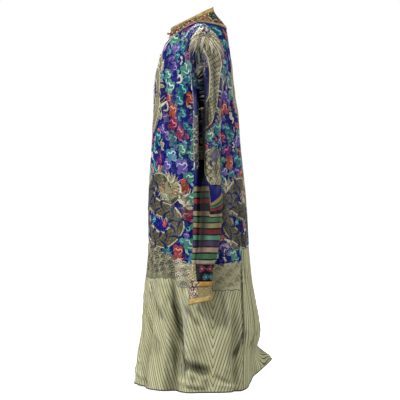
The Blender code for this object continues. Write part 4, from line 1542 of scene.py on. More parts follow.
# %% Silk and gold thread for the embroidery
def embroidery_silk():
    """Floss silk: the drawn colour, with fine stitches that break it up."""
    silk = Finish("embroidery silk", 0.42, gloss=0.22)
    colour = silk.node("ShaderNodeAttribute", {"attribute_name": "thread"}, [])
    where = silk.solid_place()
    stitch = silk.noise(where, 420.0, 1.0)
    patchy = silk.noise(where, 90.0, 1.0)
    shaded = silk.mix(stitch.ease(0.35, 0.7) * 0.35, colour, shade(20, 22, 50))
    shaded = silk.mix(patchy.ease(0.55, 0.8) * 0.2, shaded, shade(200, 196, 180))
    # painted shade in the troughs, painted highlight on the ridges
    return silk.finish(silk.fold_shaded(shaded, 0.95), stitch, 0.0002)


def scaled_gold(name, length, dull, bright, tip):
    """Gold thread couched in rows of scales with dark outlines."""
    gold_silk = Finish(name, 0.42, metallic=0.1, gloss=0.25)
    x, y, _ = gold_silk.split(gold_silk.node("ShaderNodeUVMap", {"uv_map": "scales"}, []))
    run = x / length
    across = y / (1.35 * length)
    local = run.fraction()
    column = ((across + (run.floor() * 0.5).fraction()).fraction() - 0.5) * 2.0
    reach = (local * local + column * column * 0.9).root()
    line = (reach - 0.86).size().below(0.17)
    glow = gold_silk.noise(gold_silk.solid_place(), 38.0, 2.0)
    base = gold_silk.mix(glow.ease(0.3, 0.7), dull, bright)
    base = gold_silk.mix(local * 0.4, base, tip)
    colour = gold_silk.mix(line * 0.8, base, shade(44, 42, 38))
    # painted shade in the troughs, painted highlight on the ridges
    return gold_silk.finish(gold_silk.fold_shaded(colour, 1.4), reach, 0.0006)


silk_thread = embroidery_silk()
scale_gold = scaled_gold("scaled gold", 0.0085, shade(112, 106, 76), shade(166, 160, 128),
                         shade(184, 178, 148))
# The skirt dragons' gold: larger scales, and darker colours that paint shade over them.
shaded_skirt_gold = scaled_gold("skirt gold", 0.0125, shade(54, 52, 32), shade(100, 95, 66),
                         shade(116, 110, 80))

# %% Silks of the embroidery
EDGE_SINK = 0.0004
THREAD_RISE = 0.0007
Tint = namedtuple("Tint", "outline body centre")
SILKS = {
    "teal": ((116, 206, 200), (18, 132, 138), (8, 88, 104)),
    "mint": ((192, 226, 206), (100, 172, 148), (56, 122, 106)),
    "purple": ((170, 150, 214), (92, 62, 156), (58, 36, 112)),
    "lavender": ((194, 186, 224), (124, 108, 188), (84, 68, 144)),
    "crimson": ((224, 122, 142), (176, 34, 78), (122, 18, 52)),
    "magenta": ((216, 118, 194), (146, 28, 128), (98, 14, 92)),
    "coral": ((234, 150, 126), (200, 68, 62), (140, 36, 38)),
    "orange": ((236, 162, 112), (200, 84, 44), (146, 54, 28)),
    "aqua": ((186, 226, 232), (92, 166, 186), (50, 116, 144)),
    "cream": ((232, 228, 210), (206, 198, 170), (156, 148, 122)),
    "olive": ((176, 170, 124), (108, 104, 60), (74, 70, 40)),
    "gold": ((200, 192, 156), (144, 136, 102), (90, 82, 58)),
    "water": ((178, 172, 138), (62, 60, 44), (44, 42, 32)),
    "dusk": ((146, 138, 156), (106, 96, 130), (84, 76, 108)),
    "navy": ((20, 24, 84), (6, 10, 62), (6, 10, 62)),
    "face": ((206, 199, 166), (166, 158, 124), (146, 138, 104)),
    "dark": ((16, 16, 48), (12, 12, 36), (10, 10, 26)),
}
TINTS = {name: Tint(*(shade(*colour) for colour in colours)) for name, colours in SILKS.items()}
print("silks", len(TINTS))

# %% [markdown]
# Each motif is first drawn flat, as on an embroidery frame. A picture could show it, but discs and
# tapering strips whose middle stands up catch the light as padded stitches do.


# %% Drawing on the frame
def smooth_line(points):
    """Function of a share from 0 to 1 along a smooth curve through flat points."""
    knots = [Vector(point) for point in points]

    def at(share):
        place = share * (len(knots) - 1)
        low = min(len(knots) - 2, max(0, int(place)))
        start, end = knots[low], knots[low + 1]
        before = knots[low - 1] if low else start
        after = knots[low + 2] if low + 2 < len(knots) else end
        return hermite(start, end, (end - before) * 0.5, (after - start) * 0.5, place - low)

    return at


def line_length(at, parts):
    """Length of a smooth line, measured in parts."""
    return sum((at((i + 1) / parts) - at(i / parts)).length for i in range(parts))


def heading(at, share):
    """Unit direction of a line at a share."""
    return (at(min(1.0, share + 0.01)) - at(max(0.0, share - 0.01))).normalized()


class Drawing:
    """Embroidery drawn flat in metres: x to the right, y up, z out of the cloth."""

    def __init__(self):
        self.mesh = bmesh.new()
        self.thread = self.mesh.loops.layers.float_color.new("thread")
        self.scales = self.mesh.loops.layers.uv.new("scales")
        self.mesh.verts.layers.float.new("trough")

    def paint(self, face, colour):
        """Give one face its thread colour."""
        for loop in face.loops:
            loop[self.thread] = (*colour, 1.0)

    def disc(self, centre, radius, tint, stretch=1.0, layer=0.0, sides=10, rise=THREAD_RISE):
        """Padded spot with an outline, a body and a darker middle."""
        made = bmesh.ops.create_circle(self.mesh, cap_ends=True, segments=sides, radius=radius)
        corners = made["verts"]
        face = corners[0].link_faces[0]
        bmesh.ops.scale(self.mesh, verts=corners, vec=(1.0, stretch, 1.0))
        bmesh.ops.translate(self.mesh, verts=corners, vec=(centre[0], centre[1], layer - EDGE_SINK))
        size = radius * min(1.0, stretch)
        rings = ((0.24, tint.outline, 0.8 * rise + EDGE_SINK), (0.36, tint.body, 0.2 * rise))
        for share, colour, step in rings:
            inner = bmesh.ops.inset_region(self.mesh, faces=[face], thickness=size * share)
            for vertex in face.verts:
                vertex.co.z += step
            for part in inner["faces"]:
                self.paint(part, colour)
        self.paint(face, tint.centre)

    def strip(self, points, widths, tint, layer=0.0, rise=THREAD_RISE, step=0.005, edge=0.66,
              scaled=False, rows=2):
        """Tapering strip of stitches along a smooth line, lighter along its edges."""
        at = smooth_line(points)
        wide = smooth_line([(width, 0.0) for width in widths])
        length = line_length(at, 24)
        columns = max(3, round(length / step))
        inner = steps(rows, -1.0, 1.0)
        across = [-1.0] + [edge * share for share in inner] + [1.0]
        heights = [-EDGE_SINK] + [rise * (1.0 - 0.25 * share**2) for share in inner] + [-EDGE_SINK]
        last = rows + 2
        made = bmesh.ops.create_grid(self.mesh, x_segments=columns, y_segments=last, size=1.0)
        places = {}
        for vertex in made["verts"]:
            share = (vertex.co.x + 1.0) * 0.5
            row = round((vertex.co.y + 1.0) * 0.5 * last)
            ahead = heading(at, share)
            off = 0.5 * max(0.0005, wide(share).x) * across[row]
            spot = at(share) + Vector((-ahead.y, ahead.x)) * off
            places[vertex] = (row, share * length, off)
            vertex.co = (spot.x, spot.y, layer + heights[row])
        for face in {face for vertex in made["verts"] for face in vertex.link_faces}:
            found = [places[vertex][0] for vertex in face.verts]
            outer = 0 in found or last in found
            self.paint(face, tint.outline if outer else tint.body)
            face.material_index = 1 if scaled and not outer else 0
            for loop in face.loops:
                loop[self.scales].uv = places[loop.vert][1:]

    def spray(self, place, turns, reach, width, tints, layer=0.0, curl=0.2):
        """Pointed strips that leave one place at several turns, as flames, claws and tail hairs do."""
        start = Vector(place)
        for i, turn in enumerate(turns):
            tip = Vector((math.cos(math.radians(turn)), math.sin(math.radians(turn)))) * reach
            side = Vector((-tip.y, tip.x)) * curl
            self.strip([start, start + tip * 0.5 + side, start + tip], (width, 0.8 * width, 0.08 * width),
                       TINTS[tints[i % len(tints)]], layer=layer, step=0.34 * reach)

    def done(self, name):
        """The finished flat drawing as a mesh."""
        data = bpy.data.meshes.new(name)
        self.mesh.to_mesh(data)
        self.mesh.free()
        return data


# %% [markdown]
# A finished drawing is then laid on the cloth point by point. A tree of the cloth's faces finds the
# nearest place on it, so that the stitches follow each crease. A Shrinkwrap modifier could do so
# too, but here one object gathers hundreds of motifs.


# %% Laying a drawing on the cloth
class Carrier:
    """Several cloths as they lie after creasing, to be searched for the place nearest to a point."""

    def __init__(self, *names):
        mesh = bmesh.new()
        mesh.verts.layers.float.new("trough")
        for name in names:
            mesh.from_mesh(bpy.data.objects[name].data)
        depth = mesh.verts.layers.float["trough"]
        self.troughs = [sum(vertex[depth] for vertex in face.verts) / len(face.verts) for face in mesh.faces]
        self.tree = BVHTree.FromBMesh(mesh)
        mesh.free()

    def nearest(self, point):
        """Nearest place on the cloth, its normal and how deep in a trough it lies."""
        place, normal, index, _ = self.tree.find_nearest(point)
        return place, normal, self.troughs[index]

    def struck(self, start, aim):
        """Place and normal where a ray meets the cloth, or None twice."""
        return self.tree.ray_cast(start, aim)[:2]


LIFT = 0.5 * WALL + 0.0003


class Laying:
    """One piece of embroidery, made of many drawings laid on cloth."""

    def __init__(self, carrier):
        self.mesh = bmesh.new()
        self.mesh.loops.layers.float_color.new("thread")
        self.mesh.loops.layers.uv.new("scales")
        self.mesh.verts.layers.float.new("trough")
        self.carrier = carrier
        self.count = 0

    def lay(self, drawing, guide, mirrored=False):
        """Lay a drawing: guide gives a point near the cloth for a flat place."""
        copy = drawing.copy()
        troughs = copy.attributes["trough"].data
        normals = []
        for vertex in copy.vertices:
            x = -vertex.co.x if mirrored else vertex.co.x
            place, normal, trough = self.carrier.nearest(guide(x, vertex.co.y))
            vertex.co = place + normal * (LIFT + vertex.co.z)
            # the embroidery takes the painted shade or highlight of the trough or ridge that it lies on
            troughs[vertex.index].value = trough
            normals.append(normal)
        copy.update()
        if sum(face.normal.dot(normals[face.vertices[0]]) for face in copy.polygons) < 0.0:
            copy.flip_normals()
        self.mesh.from_mesh(copy)
        bpy.data.meshes.remove(copy)
        self.count += 1

    def piece(self, name, slot_name="gold_thread", scales=scale_gold):
        """Finished object of everything that was laid."""
        data = bpy.data.meshes.new(name)
        self.mesh.to_mesh(data)
        self.mesh.free()
        print(name, self.count, "motifs", len(data.polygons), "faces")
        return finished(name, data, [silk_thread, scales])


whole_body = Carrier("left_half_cloth", "outer_right_front_cloth", "right_half_cloth")
body_layers = {-1: Carrier("left_half_cloth", "outer_right_front_cloth"),
               1: Carrier("left_half_cloth", "right_half_cloth")}
sleeve_layer = Carrier("left_half_cloth", "right_half_cloth", "left_plain_sleeve_cloth",
                       "right_plain_sleeve_cloth")
print("faces that carry the body's embroidery", len(whole_body.troughs))

# %% [markdown]
# A dragon is a scaled body on a winding line, with fins along it, clawed legs, a tail of
# hairs and a broad head with horns, whiskers and a mane. These are drawn freely, coiled for the
# chest and back, walking for the skirt and stretched out for the shoulders.


# %% Fins and legs
def fins(work, at, count, length, offsets, side, tint):
    """Row of pointed fins along one side of a body."""
    for i in range(count):
        share = 0.06 + 0.90 * (i + 0.5) / count
        ahead = heading(at, share)
        out = Vector((-ahead.y, ahead.x)) * side
        size = length * (1.0 - 0.3 * i / count)
        foot = at(share) + out * (offsets[0] + (offsets[1] - offsets[0]) * i / count)
        tip = foot + (out + ahead * 0.75) * size
        work.strip([foot, foot + out * (0.6 * size) + ahead * (0.3 * size), tip],
                   (0.60 * size, 0.45 * size, 0.03 * size), TINTS[tint], layer=-0.0001, step=0.4 * size)


def leg(work, points, size):
    """Bent leg with a foot of five talons."""
    work.strip(points, (0.55 * size, 0.40 * size, 0.30 * size), TINTS["gold"], layer=0.0003, edge=0.8,
               scaled=True, rows=4)
    end = Vector(points[-1])
    ahead = end - Vector(points[-2])
    turn = math.degrees(math.atan2(ahead.y, ahead.x))
    talon_turns = [turn + 36 * i for i in (-2, -1, 0, 1, 2)]
    work.spray(end, talon_turns, size, 0.26 * size, ("cream", "gold"), 0.0004, 0.3)
    work.disc(end, 0.24 * size, TINTS["gold"], layer=0.0005)


# %% Mane and head
def mane(work, centre, reach, tints, fullness=4.2, lift=0.0, root=0.30):
    """Fan of hair: three rings of pointed locks that lie over each other."""
    for share, count, layer in ((1.0, 24, 0.0002), (0.74, 18, 0.0005), (0.48, 12, 0.0008)):
        for i in range(count):
            angle = 2.0 * math.pi * (i + share) / count
            aim = Vector((math.cos(angle), math.sin(angle))) * (share * reach)
            lean = Vector((-aim.y, aim.x)) * 0.10
            width = fullness * share * reach / count
            middle = centre + aim * (0.5 + 0.5 * root) + lean * (1.3 - root)
            work.strip([centre + aim * root, middle, centre + aim],
                       (width, width, 0.1 * width), TINTS[tints[i % 2]], layer=layer + lift,
                       step=0.25 * reach, edge=0.6)


CHEEKS_AND_EYES = (
    (0.42, -0.10, 0.30, "face", 0.0011),
    (0.30, 0.28, 0.22, "cream", 0.0013),
    (0.28, 0.26, 0.11, "dark", 0.0016),
)
BROWS_HORNS_WHISKERS = (
    (((0.14, 0.52), (0.36, 0.62), (0.62, 0.44)), (0.06, 0.17, 0.05), "olive", 0.0015, 0.2),
    (((0.24, 0.68), (0.44, 1.10), (0.30, 1.55)), (0.22, 0.15, 0.04), "cream", 0.0013, 0.25),
    (((0.18, -0.28), (0.75, -0.34), (1.15, 0.06), (1.6, -0.14)), (0.10, 0.11, 0.08, 0.02), "coral",
     0.0015, 0.25),
)


def head(work, place, size, turn, hairs):
    """Head from the front: mane, brow, cheeks, eyes, horns, snout, whiskers, mouth and beard."""
    centre = Vector(place)
    cos, sin = math.cos(math.radians(turn)), math.sin(math.radians(turn))

    def spot(x, y):
        return centre + Vector((x * cos - y * sin, x * sin + y * cos)) * size

    if hairs:
        mane(work, centre, 1.8 * size, hairs)
    work.disc(spot(0.0, 0.08), 0.76 * size, TINTS["face"], layer=0.0007, sides=18)
    for side in (-1, 1):
        for x, y, radius, tint, layer in CHEEKS_AND_EYES:
            work.disc(spot(x * side, y), radius * size, TINTS[tint], layer=layer)
        for points, widths, tint, layer, step in BROWS_HORNS_WHISKERS:
            work.strip([spot(x * side, y) for x, y in points], [width * size for width in widths],
                       TINTS[tint], layer=layer, step=step * size)
    work.disc(spot(0.0, -0.48), 0.36 * size, TINTS["crimson"], stretch=0.5, layer=0.0010)
    work.disc(spot(0.0, -0.14), 0.27 * size, TINTS["cream"], stretch=0.8, layer=0.0015)
    beard = [turn - 130 + 16 * i for i in range(6)]
    work.spray(spot(0.0, -0.50), beard, 0.66 * size, 0.16 * size, ("mint", "cream"), 0.0008, 0.15)


# %% Whole dragon
SLIM = (0.8, 1.0, 1.0, 0.95, 0.8, 0.55, 0.3)
STOUT = (0.8, 1.0, 1.0, 1.0, 1.0, 0.85, 0.5)


def flat_points(points):
    """Flat points given in millimetres, in metres."""
    return [(x / 1000, y / 1000) for x, y in points]


def draw_dragon(name, line, girth, head_size, head_turn, legs, flames, taper=SLIM,
                hairs=("gold", "cream"), marks=0, fin_tints=("gold", "cream"), rows=8):
    """Whole dragon on its line, with small flames between the coils."""
    work = Drawing()
    line = flat_points(line)
    at = smooth_line(line)
    length = line_length(at, 40)
    widths = [girth * share for share in taper]
    for i, (x, y, turn) in enumerate(flames):
        tints = (("coral", "orange"), ("teal", "aqua"), ("crimson", "coral"))[i % 3]
        work.spray((x / 1000, y / 1000), (turn - 34, turn, turn + 34), 0.024, 0.010, tints, 0.0001, 0.3)
    offsets = (0.40 * girth, 0.5 * taper[-1] * girth)
    fins(work, at, round(length / 0.014), 0.021, offsets, 1, fin_tints[0])
    fins(work, at, round(length / 0.018), 0.015, offsets, -1, fin_tints[1])
    navy_underlay = [width + 0.006 for width in widths]
    work.strip(line, navy_underlay, TINTS["navy"], rise=0.0003, edge=0.95, rows=rows)
    work.strip(line, widths, TINTS["gold"], layer=0.0006, rise=0.0014, edge=0.86, scaled=True, rows=rows)
    for i in range(marks):
        share = 0.10 + 0.86 * (i + 0.5) / marks
        ahead = heading(at, share)
        out = Vector((-ahead.y, ahead.x)) * (1 if i % 2 else -1)
        foot = at(share) + out * (0.52 * girth)
        bend = at(share) + out * (0.22 * girth) + ahead * (0.10 * girth)
        tip = at(share) - out * (0.06 * girth) + ahead * (0.46 * girth)
        work.strip([foot, bend, tip], (0.018, 0.013, 0.004), TINTS["navy"], layer=0.0020, rise=0.0004)
    for points in legs:
        leg(work, flat_points(points), 0.9 * girth)
    ahead = heading(at, 1.0)
    turn = math.degrees(math.atan2(ahead.y, ahead.x))
    hair_turns = [turn + 22 * i for i in (-3, -2, -1, 0, 1, 2, 3)]
    work.spray(at(1.0), hair_turns, 0.034, 0.010, ("gold", "cream"), 0.0005)
    head(work, line[0], head_size, head_turn, hairs)
    return work.done(name)


# %% [markdown]
# The three dragons are given by their lines, legs and flames in millimetres. A flame also has the
# turn of its middle tongue in degrees.

# %% Three dragons
coiled_dragon = draw_dragon(
    "coiled dragon",
    line=(
        (0, 10), (36, 60), (90, 40), (98, -30), (56, -88), (-20, -104), (-86, -66), (-104, 10),
        (-74, 76), (-10, 104), (60, 108), (104, 86),
    ),
    girth=0.038, head_size=0.027, head_turn=0,
    legs=(
        ((50, -10), (64, -46), (36, -60)), ((-56, 0), (-62, -36), (-36, -56)),
        ((104, -66), (128, -78), (134, -50)), ((-104, 50), (-132, 56), (-136, 26)),
    ),
    flames=(
        (0, -52, -90), (124, 40, 30), (-110, -100, 200), (100, -118, -40), (-100, 112, 140),
        (0, 66, 80), (-50, 44, 150),
    ),
)
walking_dragon = draw_dragon(
    "walking dragon",
    line=(
        (-46, 88), (0, 120), (58, 100), (68, 44), (10, 12), (-58, -10), (-86, -62), (-36, -112),
        (34, -104), (88, -62), (106, 10), (104, 84),
    ),
    girth=0.062, head_size=0.036, head_turn=20,
    legs=(
        ((56, 66), (100, 60), (112, 104)), ((-10, 30), (-60, 34), (-96, 56)),
        ((-80, -30), (-116, -24), (-120, 16)), ((10, -106), (44, -142), (80, -130)),
    ),
    flames=(
        (-104, 116, 160), (-104, -108, 220), (118, -100, -30), (4, 156, 90), (34, -40, 0),
        (-20, -60, 100), (60, 150, 40),
    ),
    taper=STOUT,
    hairs=("olive", "gold"),
    marks=26,
    fin_tints=("gold", "olive"),
)
shoulder_dragon = draw_dragon(
    "shoulder dragon",
    line=(
        (2, -212), (20, -282), (24, -345), (22, -400), (16, -455), (-10, -510), (-42, -545),
        (-52, -600), (-50, -652),
    ),
    girth=0.048, head_size=0.03, head_turn=0,
    legs=(
        ((-10, -262), (-12, -296), (-14, -330)), ((34, -330), (62, -346), (60, -388)),
        ((14, -470), (50, -486), (58, -520)),
    ),
    flames=(
        (64, -290, 0), (-50, -440, 200), (46, -440, 0), (40, -560, -20),
    ),
    taper=(1.1, 1.0, 0.75, 0.7, 0.74, 1.1, 1.75, 1.95, 1.9),
    hairs=None,
    # dark front fins: painted shade of the deep crease in front of the sleeve
    fin_tints=("gold", "dark"),
    rows=24,
)


# %% Mane and tail of the shoulder dragon
def fan_tail():
    """Broad rounded end of the tail, which lies behind the sleeve's valley."""
    work = Drawing()
    line = flat_points(((20, -606), (21, -622), (22, -655), (24, -700), (26, -732), (27, -746)))
    work.strip(line, (0.016, 0.050, 0.066, 0.064, 0.050, 0.018), TINTS["navy"], layer=0.0001, rise=0.0004,
               edge=0.95, rows=12)
    work.strip(line, (0.010, 0.044, 0.058, 0.056, 0.042, 0.010), TINTS["gold"], layer=0.0006, rise=0.0014,
               edge=0.88, scaled=True, rows=12)
    work.disc((0.022, -0.636), 0.017, TINTS["dusk"], stretch=1.25, layer=0.0016, sides=14)
    return work.done("fan tail")


MANE_SQUEEZE = 0.62


def shoulder_fan():
    """Broad fan of the dragon's mane, which spreads over the shoulder above its face."""
    work = Drawing()
    centre = Vector((0.002, -0.208))
    work.disc(centre, 0.056, TINTS["navy"], layer=0.0001, sides=18)
    mane(work, centre, 0.086, ("cream", "gold"), 2.3, 0.0020, 0.50)
    bmesh.ops.scale(work.mesh, verts=work.mesh.verts[:], vec=(MANE_SQUEEZE, 1.0, 1.0))
    return work.done("shoulder fan")


tail_end = fan_tail()
shoulder_mane = shoulder_fan()
print("faces of a coiled dragon", len(coiled_dragon.polygons))

# %% [markdown]
# A motif finds its place through a guide: a function that turns its flat place, x and y, into a
# point near the cloth. The nearest point of the cloth then carries it, creases and all.

# %% Guides
FRONT_REACH = 0.19
SHOULDER_RUN = 0.155
CAP_RUN = 0.34
SLEEVE_GIRTH = 0.27


def panel_guide(face, centre_z, size, x, y):
    """Over the middle of the chest or back, seen from outside."""
    return Vector((-face * x * size, face * FRONT_REACH, centre_z + y * size))


def wrap_guide(side, face, centre_s, centre_v, size, x, y):
    """Round the body: x runs away from the side seam, y is height."""
    v = min(UNDERARM, centre_v + y * size)
    found = girth_at(side, face, v)
    s = max(0.0, centre_s + x * size)
    low = next((i for i in range(GIRTH_PARTS - 1) if found[i + 1] >= s), GIRTH_PARTS - 1)
    part = min(1.0, (s - found[low]) / (found[low + 1] - found[low]))
    across = 1.0 - (low + part) / GIRTH_PARTS
    hem = hem_height(side, face, across)
    return on_side(side, half_point(side, face, across, (v - hem) / (UNDERARM - hem)))


def shoulder_guide(side, x, y):
    """Down the shoulder and the sleeve: y is minus the distance from the neck band."""
    down = -y
    run = (down - SHOULDER_RUN) / CAP_RUN
    turn = 0.5 + x / SLEEVE_GIRTH
    if down < SHOULDER_RUN:
        face = 1 if x > 0.0 else -1
        across = NECK_SHARE + (1.0 - NECK_SHARE) * down / SHOULDER_RUN
        point = half_point(side, face, across, 2.0 - abs(x) / UPPER_LENGTH[face])
    elif run < 1.0:
        point = cap_point(side, turn, run)
    else:
        point = sleeve_section(turn, SLEEVE_HANG - (down - SHOULDER_RUN - CAP_RUN))
    return on_side(side, point)


def touch_guide(place, normal, size, turn):
    """A small motif on the plane that touches the cloth at a place."""
    right = Vector((0.0, 0.0, 1.0)).cross(normal)
    right = right.normalized() if right.length > 0.1 else Vector((1.0, 0.0, 0.0))
    up = normal.cross(right)
    cos, sin = math.cos(math.radians(turn)), math.sin(math.radians(turn))

    def guide(x, y):
        return place + (right * (x * cos - y * sin) + up * (x * sin + y * cos)) * size + normal * 0.004

    return guide


# %% [markdown]
# The dragons are laid first. Each notes the space that it takes, so that no cloud covers it later.

# %% Space that is taken
CELL = 0.09
NEAR = [(i, j, k) for i in (-1, 0, 1) for j in (-1, 0, 1) for k in (-1, 0, 1)]
taken = {}


def cell_of(place):
    """Cell of space that a place lies in."""
    return tuple(math.floor(value / CELL) for value in place)


def take(place, reach):
    """Note that a motif reaches so far round a place."""
    taken.setdefault(cell_of(place), []).append((place, reach))


def keep_off(guide, places, reach, carrier):
    """Keep the clouds off the places of a drawing."""
    for x, y in places:
        take(carrier.nearest(guide(x, y))[0], reach)


for share in steps(12):
    for side, _ in SIDES:
        for face in (-1, 1):
            take(on_side(side, band_line(face, share)), 0.012)
for across in steps(24, 0.0, EDGE_ACROSS_END):
    rise = lowered(edge_rise(across), 0.5 * EDGE_BAND_WIDTH)
    take(on_side(-1, outer_point(-1, across, rise)), 0.026)
print("cells taken by the bands", len(taken))

# %% Lay the dragons
COIL_PLACES = [(x, y) for x in (-0.08, 0.0, 0.08) for y in (-0.08, 0.0, 0.08)]
WALK_PLACES = [(x, y) for x in (-0.07, 0.0, 0.07) for y in (-0.10, -0.03, 0.04, 0.11)]
LINE_PLACES = [(-0.034 if y < -0.52 else 0.020, y) for y in steps(12, -0.29, -0.65)]
MANE_PLACES = [(x, y) for x in (-0.034, 0.034) for y in (-0.150, -0.200, -0.235)]
SKIRT_DRAGONS = (("front", -1, 0.205, -0.690, 0.90), ("back", 1, 0.135, -0.700, 0.84))

for word, face, size in (("chest", -1, 1.22), ("back", 1, 1.15)):
    panel = partial(panel_guide, face, -0.262, size)
    laid = Laying(body_layers[face])
    laid.lay(coiled_dragon, panel)
    laid.piece(f"{word}_dragon_embroidery")
    keep_off(panel, COIL_PLACES, 0.040 * size, laid.carrier)
for side, word in SIDES:
    down = partial(shoulder_guide, side)
    laid = Laying(sleeve_layer)
    for drawing in (shoulder_mane, shoulder_dragon, tail_end):
        laid.lay(drawing, down)
    laid.piece(f"{word}_shoulder_dragon_embroidery")
    keep_off(down, LINE_PLACES, 0.024, sleeve_layer)
    keep_off(down, MANE_PLACES, 0.034, sleeve_layer)
    for end, face, centre_s, centre_v, size in SKIRT_DRAGONS:
        around = partial(wrap_guide, side, face, centre_s, centre_v, size)
        laid = Laying(whole_body)
        laid.lay(walking_dragon, around, mirrored=face > 0)
        # the skirt dragons take the gold in painted shade
        laid.piece(f"{word}_{end}_skirt_dragon_embroidery", scales=shaded_skirt_gold)
        keep_off(around, WALK_PLACES, 0.036 * size, whole_body)

# %% [markdown]
# Clouds fill the rest of the blue. Each is a head of round lobes with a tail, in one of nine silks
# with a pale outline, and between them run white curls.

# %% Cloud drawings
LOBES = (
    ((-0.30, 0.04, 0.22), (0.30, 0.04, 0.22), (0.0, 0.25, 0.25), (0.0, -0.14, 0.24)),
    ((-0.36, 0.12, 0.19), (-0.08, 0.22, 0.24), (0.24, 0.12, 0.22), (0.02, -0.12, 0.22)),
    ((-0.22, 0.28, 0.20), (0.16, 0.30, 0.18), (-0.04, 0.02, 0.25), (0.22, -0.16, 0.20), (-0.14, -0.30, 0.16)),
)
INNER_CURL = ((-0.34, 0.02), (-0.18, 0.22), (0.02, 0.10), (0.20, 0.26), (0.34, 0.06), (0.10, -0.16))
CURLS = (
    ((-0.45, 0.20), (-0.25, -0.12), (-0.02, 0.14), (0.18, -0.14), (0.45, 0.08)),
    ((-0.30, 0.36), (0.10, 0.30), (-0.06, 0.02), (0.22, -0.14), (-0.10, -0.38)),
    ((-0.20, -0.34), (0.22, -0.20), (0.20, 0.20), (-0.16, 0.26), (-0.20, 0.02)),
)


@lru_cache(maxsize=None)
def cloud_drawing(kind, tint):
    """Flat cloud one unit wide, drawn once for each silk."""
    work = Drawing()
    work.strip([(0.0, -0.10), (0.16, -0.34), (0.42, -0.42), (0.56, -0.28)], (0.22, 0.18, 0.12, 0.02),
               TINTS[tint], step=0.2)
    for i, (x, y, radius) in enumerate(LOBES[kind]):
        work.disc((x, y), radius, TINTS[tint], layer=0.00012 * (i + 1))
    line = Tint(TINTS[tint].outline, TINTS[tint].outline, TINTS[tint].outline)
    work.strip(INNER_CURL, (0.04, 0.10, 0.10, 0.04), line, layer=0.0010, rise=0.0003, step=0.15)
    return work.done(f"cloud {kind} {tint}")


@lru_cache(maxsize=None)
def curl_drawing(kind, tint):
    """Flat white curl one unit long."""
    work = Drawing()
    work.strip(CURLS[kind], (0.08, 0.20, 0.24, 0.20, 0.05), TINTS[tint], step=0.10)
    return work.done(f"curl {kind} {tint}")


# %% [markdown]
# Large clouds are strewn first and small ones fill the gaps, so that they lie close without
# touching. A seeded random source picks the places, so the robe is the same in each run.

# %% Room for a cloud
CROWDING = 0.37
SMALL_CLOUD = 0.033
BRIGHT = ("teal", "purple", "mint", "crimson", "lavender", "teal", "magenta", "aqua", "orange", "mint",
          "teal", "mint", "lavender", "coral", "purple", "mint", "teal")
PALE = ("cream", "cream", "gold", "aqua")
maker = random.Random(11)


def water_line(face, s):
    """Height at which the waves begin, at a distance from the side seam."""
    if face < 0:
        return FRONT_WATER + FRONT_WATER_RISE * min(s, FRONT_WATER_END)
    return BACK_WATER + BACK_WATER_RISE * min(s, PANEL_SEAM) + (PANEL_WATER_RISE if s > PANEL_SEAM else 0.0)


def clear(place, reach):
    """True if no motif lies within reach of a place."""
    i, j, k = cell_of(place)
    near = [found for a, b, c in NEAR for found in taken.get((i + a, j + b, k + c), ())]
    return all((place - other).length > reach + size for other, size in near)


def strew(laid, place, normal, size, lean):
    """Lay one cloud or curl at a place if there is room for it."""
    reach = CROWDING * size
    if not clear(place, reach):
        return
    take(place, reach)
    kind = maker.randrange(3)
    turn = lean + maker.uniform(-50.0, 50.0)
    if maker.random() < (0.45 if size < SMALL_CLOUD else 0.10):
        drawing = curl_drawing(kind, maker.choice(PALE))
    else:
        drawing = cloud_drawing(kind, maker.choice(BRIGHT))
    laid.lay(drawing, touch_guide(place, normal, size, turn))


# %% Strew the clouds
CLOUD_LOW = -0.860
CLOUD_TOP = -0.030
CLOUD_LEAN = {-1: -30.0, 1: 20.0}
ROUNDING = {-1: 1.05, 1: 1.24}
PASSES = ((4500, 0.046, 0.060), (5000, 0.034, 0.044), (7000, 0.021, 0.029))
clouds = {-1: Laying(whole_body), 1: Laying(whole_body)}
for tries, least, most in PASSES:
    for _ in range(tries):
        z = maker.uniform(CLOUD_LOW, CLOUD_TOP)
        angle = maker.uniform(-math.pi, math.pi)
        size = maker.uniform(least, most)
        aim = Vector((math.cos(angle), math.sin(angle), 0.0))
        face = -1 if aim.y < 0.0 else 1
        start = Vector((0.0, BODY_MIDDLE_Y, z))
        place, normal = body_layers[face].struck(start, aim)
        if place is None:
            place, normal = whole_body.struck(start, aim)
        if place is None:
            continue
        if place.z < water_line(face, ROUNDING[face] * abs(place.y - SIDE_SEAM_Y)) + 0.52 * size:
            continue
        strew(clouds[face], place, normal, size, CLOUD_LEAN[face] * (1 if aim.x > 0 else -1))
    print("clouds", clouds[-1].count, clouds[1].count)
clouds[-1].piece("front_clouds_embroidery", "band_silk")
clouds[1].piece("back_clouds_embroidery", "band_silk")

for side, word in SIDES:
    down = partial(shoulder_guide, side)
    laid = Laying(sleeve_layer)
    for tries, least, most in PASSES:
        for _ in range(tries // 5):
            x = maker.uniform(-0.13, 0.13)
            y = -maker.uniform(0.04, 0.63)
            size = maker.uniform(least, most) * 0.85
            place, normal, _ = sleeve_layer.nearest(down(x, y))
            strew(laid, place, normal, size, 0.0)
    laid.piece(f"{word}_sleeve_clouds_embroidery", "band_silk")

# %% [markdown]
# Where the sky meets the water, rows of wave crests roll along the line, down to the stripes. They
# are paler where the front meets the side, a painted highlight on the ridge there.

# %% Wave crests
CREST_ROWS = 8
CREST_DROP = 0.0115
CREST_STEP = 0.0185
CREST_SIZE = {-1: 0.026, 1: 0.022}
CREST_TINTS = {-1: ("water", "gold", "dark", "water"), 1: ("gold", "water", "gold", "face")}
RIDGE_HIGHLIGHT_CRESTS = ("face", "gold", "cream", "water")


def stripes_line(face, s):
    """Height at which the waves end and the stripes begin."""
    if face < 0:
        return FRONT_STRIPES + FRONT_STRIPES_RISE * smooth((s - FOLD_EDGE) / FOLD_EASE)
    return BACK_STRIPES + (PANEL_STRIPES_RISE if s > PANEL_SEAM else 0.0)


